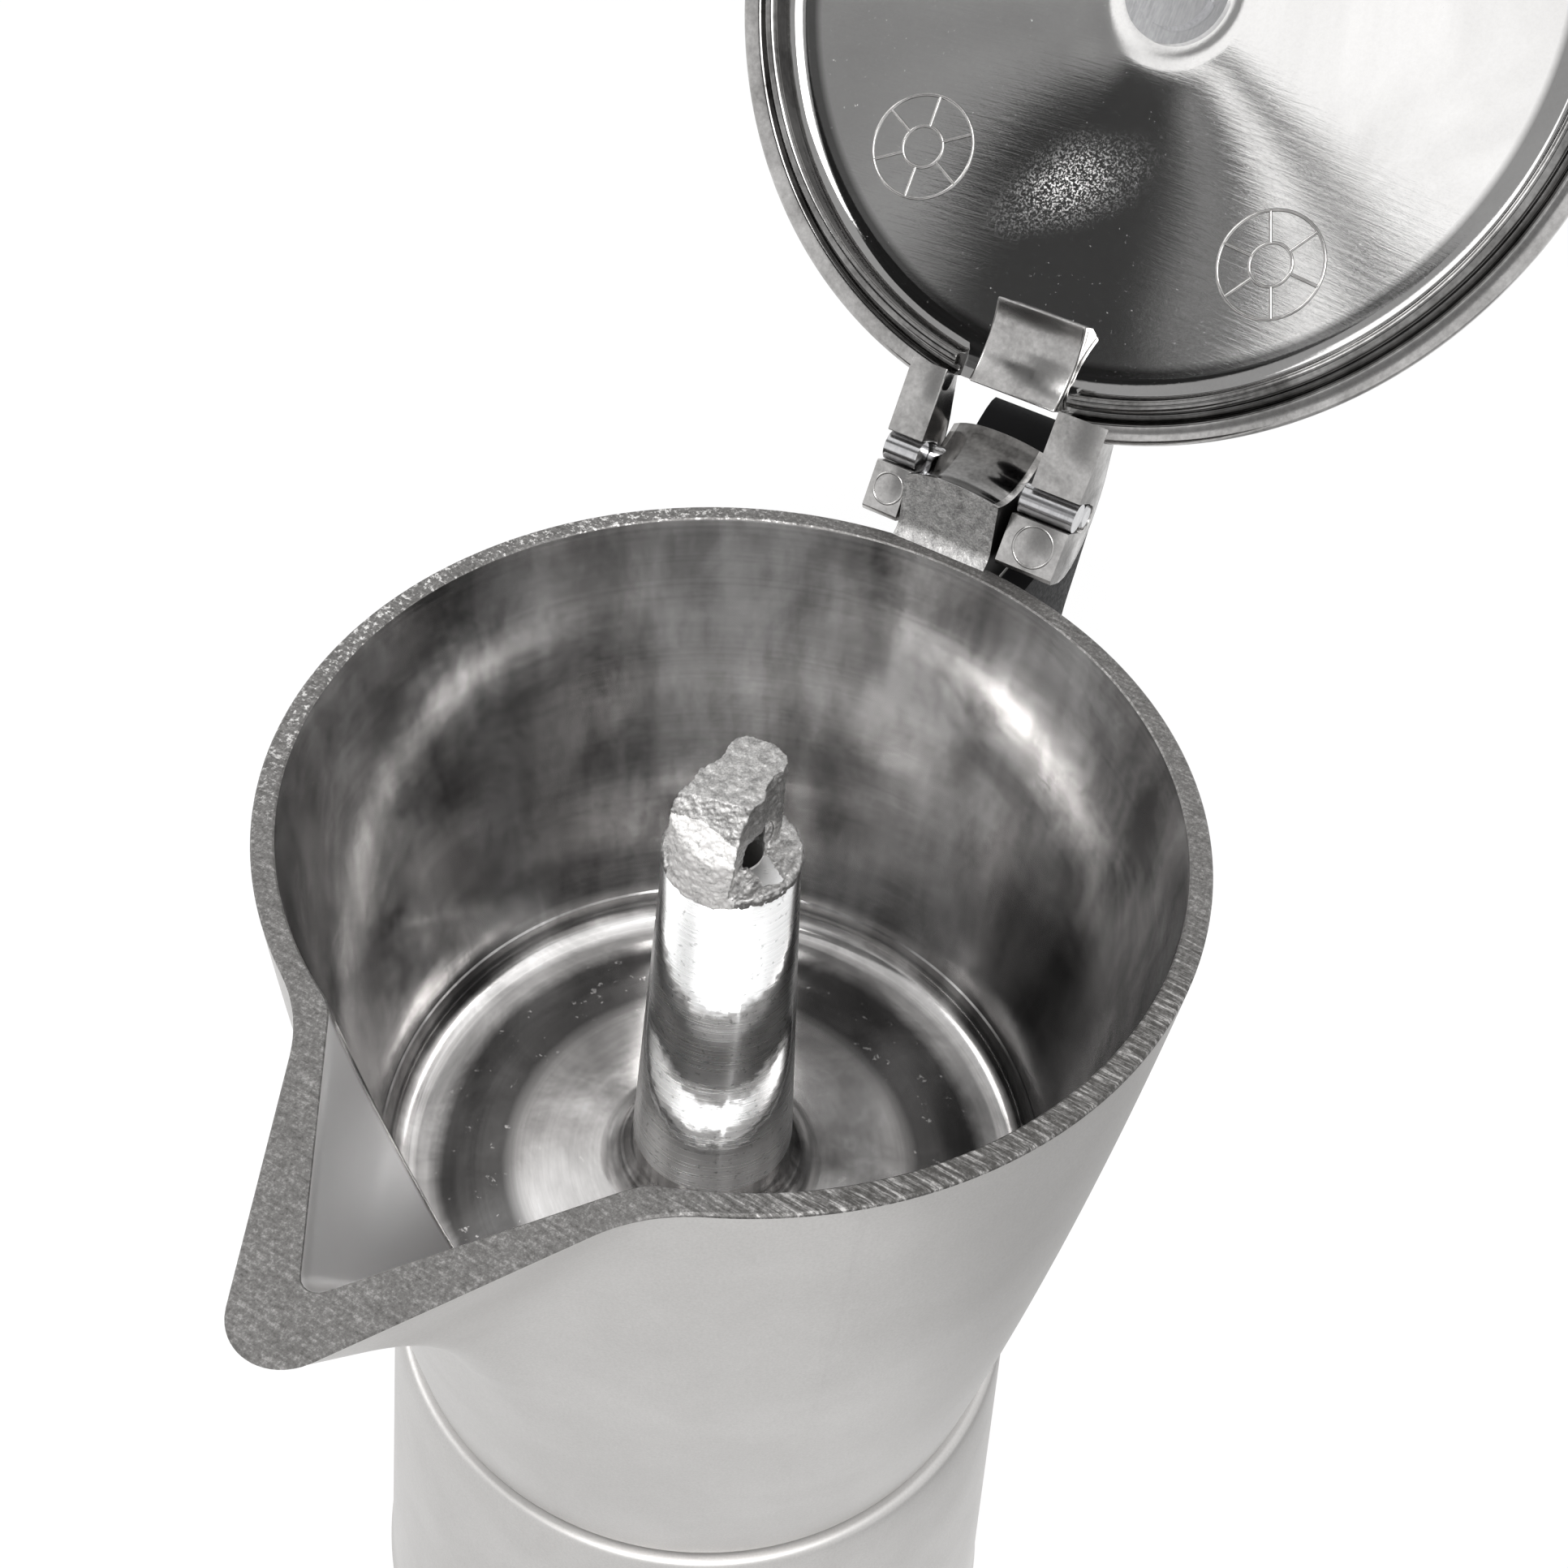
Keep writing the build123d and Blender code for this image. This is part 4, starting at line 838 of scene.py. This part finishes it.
arm = [(-11.0, -5.55), (-11.0, -1.65), (-6.8, 0.55), (-5.4, 1.35), (-4.0, 1.95), (-2.6, 2.4), (-1.0, 2.75), (1.3, 2.95),
       (3.2, 2.75), (5.0, 2.1), (6.4, 1.35), (7.5, 0.0), (8.1, -1.6), (8.2, -3.25), (8.2, -5.0), (7.7, -5.55)]
for name, x_low, x_high, radius in (("lid_arm_left", -12.9, -8.2, 1.9), ("lid_arm_right", 5.3, 12.6, 2.45)):
    piece = prism(name, [(HINGE_Y + y, HINGE_Z + z) for y, z in arm], x_low, x_high)
    if name == "lid_arm_right":
        # narrower above the pin than at its end
        boolean(piece, block("inner", HINGE_Y - 14, HINGE_Y + 1.0, HINGE_Z - 9, HINGE_Z + 9, 0, 6.3))
    boolean(piece, cylinder("hole", (-20, HINGE_Y, HINGE_Z), X_AXIS, 1.56, 40))
    middle_x = (x_low + x_high) / 2
    boolean(piece, block("slot", HINGE_Y - 1.85, HINGE_Y + 1.85, HINGE_Z - 7, HINGE_Z, middle_x - 4, middle_x + 4))
    bevel(piece, 0.45, 3, 26)
    mark = round_wire("mark", (middle_x + 0.2, HINGE_Y + 4.75, HINGE_Z - 5.52), radius, 0.17)
    band = cylinder("band", (x_low + 0.15, HINGE_Y, HINGE_Z - 3.45), X_AXIS, 1.8, x_high - x_low - 0.3, 48)
    sharpen(band)
    for p in band.data.polygons:
        p.material_index = 1
    joined = join(name, [piece, mark, band])
    paint(joined, M_HINGE, M_STEEL)
    open_lid(joined)
    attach(joined, "cover")

# curved tongue between the arms and the web that carries it
tongue_front, tongue_middle, tongue_back = 37.7, 42.8, 47.9
lo = [(y, RIM + 0.3 + 1.6 * (1 - ((y - tongue_middle) / 5.1) ** 2))
      for y in np.linspace(tongue_front, tongue_back, 15)]
hi = [(y, z + 1.2) for y, z in reversed(lo)]
tongue = prism("lid_tongue", lo + hi, -5.5, 5.8)
bevel(tongue, 0.3, 3, 40)
open_lid(tongue)
place(tongue, "cover", "polished_lid", M_HINGE)
web = prism("lid_web", [(y, z + 0.6) for y, z in lo] + [(tongue_back, RIM + 3.2), (tongue_front, RIM + 5.2)],
            -4.2, 5.72)
bevel(web, 0.2, 2, 40)
open_lid(web)
place(web, "cover", "polished_lid", M_HINGE)


def ridge(points, closed, width=0.42, height=0.16):
    """Raised line on the lid's underside, through points of (x, y) in mm."""
    verts, faces = [], []
    count = len(points)
    for i, (x, y) in enumerate(points):
        x0, y0 = points[i - 1] if closed or i else points[0]
        x1, y1 = points[(i + 1) % count] if closed or i < count - 1 else points[-1]
        dx, dy = x1 - x0, y1 - y0
        length = math.hypot(dx, dy) or 1.0
        nx, ny = -dy / length, dx / length
        for across, down in ((-0.5, -0.06), (-0.3, 0.8), (0.0, 1.0), (0.3, 0.8), (0.5, -0.06)):
            px, py = x + nx * across * width, y + ny * across * width
            verts.append((px, py, RIM + lid_underside(math.hypot(px, py)) - down * height))
    for i in range(count if closed else count - 1):
        j = (i + 1) % count
        faces += [(5 * i + k, 5 * i + k + 1, 5 * j + k + 1, 5 * j + k) for k in range(4)]
    return mesh_from("ridge", verts, faces)


for side, name, turn in ((-1, "lid_wheel_mark_left", 0.5), (1, "lid_wheel_mark_right", 0.1)):
    cx, cy, tyre, hub = side * 22.0, 24.8, 6.0, 2.4
    parts = [ridge([around(cx, cy, r, a) for a in circle(48)], True) for r in (tyre, hub)]
    for a in (turn + spoke for spoke in circle(6)):
        parts.append(ridge([around(cx, cy, r, a) for r in np.linspace(hub, tyre, 7)], False))
    mark = join(name, parts)
    fix_normals(mark)
    open_lid(mark)
    place(mark, "cover", "polished_lid", M_HINGE)

knob_profile = [(2.25, 12.1), (8.1, 12.1), (8.5, 12.5), (8.3, 13.4), (7.3, 15.4), (6.6, 17.0), (6.4, 17.9), (6.8, 19.6),
                (7.8, 21.5), (9.4, 23.1), (11.4, 24.6), (12.3, 25.5), (12.5, 26.3), (12.5, 27.2), (12.2, 28.3),
                (11.3, 29.6), (10.0, 30.5), (7.6, 31.3), (4.6, 31.9), (4.1, 31.95), (3.9, 31.7), (3.5, 31.55),
                (0, 31.5), (0, 24.1), (2.25, 24.1)]
knob = lathe("knob", [(r, RIM + z) for r, z in knob_profile], 96)
sharpen(knob, 40)
open_lid(knob)
place(knob, "cover", "black_plastic", M_BLACK, "lid_knob")

# ---- handle ----
def smooth_line(points, steps=6):
    """Catmull-Rom curve through points."""
    out = []
    pts = [points[0]] + list(points) + [points[-1]]
    for a, b, c, d in zip(pts, pts[1:], pts[2:], pts[3:]):
        for t in np.arange(steps) / steps:
            out.append(tuple(0.5 * (2 * q + (r - p) * t + (2 * p - 5 * q + 4 * r - s) * t * t
                                    + (3 * q - p - 3 * r + s) * t ** 3) for p, q, r, s in zip(a, b, c, d)))
    return out + [points[-1]]


back = smooth_line([(76.9, 2.6), (76.9, 1.4), (76.2, -6.0), (74.0, -14.0), (71.9, -22.0), (72.6, -31.0), (76.0, -43.0),
                    (81.5, -58.0), (86.0, -76.0)])
low_end = [(86.1, -78.6), (85.8, -81.3), (84.9, -83.5), (83.4, -84.7), (81.4, -85.1), (79.3, -84.4), (77.3, -82.7)]
front = smooth_line([(75.6, -80.0), (73.0, -70.0), (69.0, -56.0), (63.5, -42.0), (57.5, -30.0), (50.0, -22.5),
                     (45.0, -20.5)])
saddle = [around(HINGE_Y, 5.65, 10.9, a) for a in np.radians(np.linspace(-90, -20, 12))]
thumb = [(69.6, 2.5), (70.6, 3.4), (71.8, 4.0), (73.2, 4.55), (74.6, 4.85), (75.8, 4.7), (76.6, 3.9)]
outline = back + low_end + front + [(45.0, -5.25)] + saddle + thumb
handle = prism("handle_grip", [(y, RIM + z) for y, z in outline], -8, 8)
beside_cup = [(wall_outer(z) + 0.3, z) for z in np.linspace(FOOT, RIM + 4, 24)]
boolean(handle, lathe("body_cut", [(0, FOOT), (40.9, FOOT)] + beside_cup + [(0, RIM + 4)]))
boolean(handle, cylinder("hole", (0, 69.0, RIM - 11), Y_AXIS, 3.9, 12))
boolean(handle, cylinder("hole", (0, 50.0, RIM - 11), Y_AXIS, 2.05, 20))
bevel(handle, 1.5, 5, 50)
place(handle, "top", "black_plastic", M_BLACK, "handle")

# ---- boiler ----
def boiler_side(z):
    """Outer radius of the boiler."""
    return 48.4 - 6.1 * z / 78.6


outer = [(0, 0.4), (40.0, 0.4), (41.0, 0.0)] + arc(44.4, 4.0, 4.0, -90, -4, 8)
outer += [(boiler_side(z), z) for z in np.linspace(6, 78.0, 14)] + arc(40.9, 78.75, 1.25, 8, 90, 5)
outer += [(36.75, 80.0), (36.4, 80.2), (36.3, 80.6)]
inner = [(35.9, 90.0), (33.0, 90.0), (32.6, 89.7), (32.5, 89.2), (32.5, 77.5), (32.8, 76.6), (39.0, 68.6), (39.4, 67.5)]
inner += [(boiler_side(z) - 3.0, z) for z in np.linspace(64, 10, 8)]
inner += arc(41.0, 8.0, 4.0, 0, -90, 6)[1:] + [(20, 3.9), (0, 3.85)]
neck = [(36.25, 80.6 + 0.34 * i) for i in range(27)] + [(36.2, 89.7)]
rows = [(r, z, 0) for r, z in outer] + [(r, z, 2) for r, z in neck] + [(r, z, 1) for r, z in inner]
on_neck = [(r, z, kind == 2 and 81.2 < z < 89.4) for r, z, kind in rows]
boiler = mesh_from("boiler_shell", threaded_rings(on_neck, BOILER_POINTS, 0.48, -0.5),
                   skin(len(rows), BOILER_POINTS))
for p in boiler.data.polygons:
    p.material_index = 1 if rows[p.index // BOILER_POINTS][2] == 1 else 0
fix_normals(boiler)
boss = cylinder("boss", (-boiler_side(VALVE_Z) - 1.7, 0, VALVE_Z), X_AXIS, 8.5, 3.4)
bevel(boss, 0.4, 3)
sharpen(boiler, 35)
paint(boiler, M_SATIN, M_INSIDE)
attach(boiler, "base")
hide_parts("boiler")
place(boss, "base", "cast_body", M_SATIN)

# ---- inside pieces ----
gasket_points = [(28.5, 91.2), (35.9, 91.2), (35.9, 95.8), (28.5, 95.8)]
gasket = lathe("gasket_ring", round_profile(gasket_points, [0.5, 0.7, 0.7, 0.5])
               + [(28.5, 94.6), (29.1, 94.3), (29.1, 92.7), (28.5, 92.4)], 160)
sharpen(gasket, 45)
place(gasket, "seal", "seal_rubber", M_RUBBER, "gasket")


def perforated(name, radius, z0, z1, clear):
    """Thin disc with a hexagonal field of fine holes, out to the radius clear."""
    hole, spacing = 0.65, 2.6
    curve = bpy.data.curves.new(name, "CURVE")
    curve.dimensions = "2D"
    curve.fill_mode = "BOTH"
    curve.extrude = (z1 - z0) / 2 * MM
    circles = [(0.0, 0.0, radius, 96)]
    steps = int(radius / spacing) + 2
    for row in range(-steps, steps + 1):
        for col in range(-steps, steps + 1):
            x, y = spacing * (col + 0.5 * (row % 2)), spacing * 0.866 * row
            if math.hypot(x, y) < clear:
                circles.append((x, y, hole, 10))
    for x, y, r, count in circles:
        spline = curve.splines.new("POLY")
        spline.points.add(count - 1)
        spline.use_cyclic_u = True
        for p, a in zip(spline.points, circle(count)):
            p.co = (*(c * MM for c in around(x, y, r, a)), 0, 1)
    temp = link(name, curve)
    mesh = evaluated_mesh(temp)
    bpy.data.objects.remove(temp)
    obj = link(name, mesh)
    obj.data.transform(Matrix.Translation((0, 0, (z0 + z1) / 2 * MM)))
    sharpen(obj, 35)
    return obj


plate = perforated("filter_disc", 32.5, 95.8, 96.55, 24.5)
place(plate, "filter", "sheet_aluminium", M_SHEET, "filter_plate")
screen = perforated("funnel_screen_disc", 29.68, 62.4, 63.2, 26.5)
place(screen, "funnel", "sheet_aluminium", M_SHEET, "funnel_screen")

# coil of the safety valve, along -X at its height
coil, wire_radius, coil_radius, coils, steps = [], 0.25, 2.15, 4.5, 24
x0, x1 = -50.6 + wire_radius, -47.4 - wire_radius
for k in range(int(coils * steps) + 1):
    s = k / (coils * steps)
    flat = min(max((s * coils - 0.6) / (coils - 1.2), 0), 1)
    a = 2 * math.pi * coils * s
    coil.append((x0 + (x1 - x0) * flat, *around(0, VALVE_Z, coil_radius, a)))
verts = []
for k, p in enumerate(coil):
    along = (Vector(coil[min(k + 1, len(coil) - 1)]) - Vector(coil[max(k - 1, 0)])).normalized()
    side = along.cross(Vector(X_AXIS)).normalized()
    up = along.cross(side)
    verts += [tuple(Vector(p) + side * wire_radius * math.cos(a) + up * wire_radius * math.sin(a)) for a in circle(8)]
ends = [tuple(range(8)), tuple(range(len(verts) - 1, len(verts) - 9, -1))]
spring = mesh_from("valve_coil", verts, skin(len(coil), 8) + ends)
fix_normals(spring)
place(spring, "base", "pin_steel", M_STEEL, "valve_spring")

seal_points = [(5.02, -47.2), (8.0, -47.2), (8.0, -46.2), (5.02, -46.2)]
seal = lathe("valve_seal_ring", round_profile(seal_points, [0.2, 0.3, 0.3, 0.2]), 96)
seal.data.transform(Matrix.Translation((0, 0, VALVE_Z * MM)) @ Matrix.Rotation(math.pi / 2, 4, "Y"))
fix_normals(seal)
sharpen(seal, 45)
place(seal, "base", "seal_rubber", M_RUBBER, "valve_seal")

# ---- CAD nodes that keep their shape ----
for material, *names in ((M_BRASS, "valve_body", "valve_cap", "valve_plunger"),
                         (M_SHEET, "funnel_basket", "funnel_stem"),
                         (M_STEEL, "hinge_pin", "handle_screw", "knob_washer", "knob_screw")):
    for mesh in (bpy.data.objects[name].data for name in names):
        mesh.materials.clear()
        mesh.materials.append(material)

# ---- floor, camera and light ----
def direction(azimuth, elevation):
    """A unit vector; the azimuth runs from -Y towards +X."""
    level = math.cos(elevation)
    return math.sin(azimuth) * level, -math.cos(azimuth) * level, math.sin(elevation)


def sheet(half_x, half_y, z):
    return [(-half_x, -half_y, z), (half_x, -half_y, z), (half_x, half_y, z), (-half_x, half_y, z)]


def seen(tree):
    """1 for the rays in which a bright surface shows itself, 0 for those that only carry its light."""
    rays = node(tree, "LightPath").outputs
    straight, mirrored, through = (Value(rays[f"Is {kind} Ray"]) for kind in ("Camera", "Glossy", "Transmission"))
    return calc("MAXIMUM", straight, calc("MAXIMUM", mirrored, through))


floor = mesh_from("floor", sheet(4000, 4000, 0), [(0, 1, 2, 3)])
mat, tree, shader = new_material("floor_paper", 0.0)
feed(shader.inputs["Base Color"], ramp(noise(coords(tree), 0.02, 4), [(0.3, 0.80), (0.7, 0.83)]))
feed(shader.inputs["Roughness"], 0.85)
white = node(tree, "Emission", Strength=1.1)
mix = node(tree, "MixShader")
for into, value in zip(mix.inputs, (seen(tree) * 0.75, shader.outputs["BSDF"], white.outputs["Emission"])):
    feed(into, value)
feed(tree.nodes["Material Output"].inputs["Surface"], mix.outputs["Shader"])
paint(floor, mat)
floor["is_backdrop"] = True

# the camera fitted to the photograph, in metres; its lens and its axis in pixels of the frame
azimuth, elevation, roll = (math.radians(angle) for angle in (28.78, 45.76, 4.112))
distance, focal, frame_size, axis_x, axis_y = 0.205356, 2435.41, 1932, 908.63, 963.12
toward = Vector(direction(azimuth, elevation))
right = Vector((math.cos(azimuth), math.sin(azimuth), 0))
up = toward.cross(right)
rolled_right = right * math.cos(roll) + up * math.sin(roll)
rolled_up = -right * math.sin(roll) + up * math.cos(roll)
place_at = toward * distance + right * 0.000009 + Vector((0, 0, 0.00301 + RIM * MM))
cam = bpy.data.cameras.new("camera")
cam.sensor_width = 36.0
cam.lens = focal / frame_size * cam.sensor_width
cam.shift_x = (frame_size / 2 - axis_x) / frame_size
cam.shift_y = (axis_y - frame_size / 2) / frame_size
cam.clip_start = 0.01
cam.clip_end = 50
camera = link("camera", cam)
turn = Matrix((rolled_right, rolled_up, toward)).transposed().to_4x4()
camera.matrix_world = Matrix.Translation(place_at) @ turn
bpy.context.scene.camera = camera

middle = (0, 0, 0.13)  # what the lamps and the cards face, in metres


def softbox(name, position, size, watts):
    light = bpy.data.lights.new(name, "AREA")
    light.shape = "RECTANGLE"
    light.size, light.size_y = size
    light.energy = watts
    obj = link(name, light)
    obj.location = position
    obj.rotation_euler = (Vector(middle) - Vector(position)).to_track_quat("-Z", "Y").to_euler()


def studio_card(name, points, faces, tone):
    """A studio flag: only polished metal sees it, as a dark or grey reflection."""
    obj = mesh_from(name, points, faces)
    card, tree, shader = new_material(name, 0.0)
    feed(shader.inputs["Base Color"], ramp(noise(coords(tree), 0.01, 3), [(0.3, tone * 0.7), (0.7, tone * 1.3)]))
    feed(shader.inputs["Roughness"], 0.9)
    paint(obj, card)
    obj.visible_camera = obj.visible_diffuse = obj.visible_shadow = False
    obj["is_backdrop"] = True


# curved cards that the open lid shows: azimuth from and to (from -Y towards +X) and elevation from and to
# in degrees, tone, distance in metres
CARD_STEPS = 12
for name, az_from, az_to, el_from, el_to, tone, far in (
        ("card_dark", -29.3, 0.0, 44.1, 76.0, 0.035, 1.62),
        ("card_grey_left", -20.5, -2.0, 26.0, 47.8, 0.36, 1.56),
        ("card_grey_band", -42.0, -29.0, 45.4, 46.4, 0.42, 1.58),
        ("card_dark_right", -42.0, -29.3, 44.1, 70.0, 0.06, 1.60),
        ("card_streak", -46.0, -28.0, 41.4, 42.5, 0.02, 1.60)):
    points, faces = [], []
    for i in range(CARD_STEPS + 1):
        for az in (az_from, az_to):
            a = math.radians(az)
            e = math.radians(el_from + (el_to - el_from) * i / CARD_STEPS)
            points.append(tuple((far * c + start) / MM for c, start in zip(direction(a, e), middle)))
        if i:
            faces.append((2 * i - 2, 2 * i - 1, 2 * i + 1, 2 * i))
    studio_card(name, points, faces, tone)
# a grey sheet low at the right, which only the satin outside picks up
turn = math.radians(28)
corners = [(212 + x * math.cos(turn) - y * math.sin(turn), 113 + x * math.sin(turn) + y * math.cos(turn), z)
           for x, y, z in sheet(150, 180, 4)]
studio_card("sheet_right", corners, [(0, 1, 2, 3)], 0.52)
softbox("key_light", (0.30, -0.50, 1.05), (0.55, 0.4), 7)
softbox("side_light", (-1.0, -0.2, 0.9), (0.6, 0.6), 3.5)
softbox("back_light", (0.3, 1.1, 0.9), (0.9, 0.5), 1.5)

world = bpy.data.worlds.new("studio")
bpy.context.scene.world = world
world.use_nodes = True
tree = world.node_tree
surface = tree.nodes["Background"].inputs
feed(surface["Strength"], spread(seen(tree), 0.0, 1.0, 0.55, 1.0))
feed(surface["Color"], (1, 1, 1, 1))

bpy.context.scene.view_settings.view_transform = "Standard"

low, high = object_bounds()
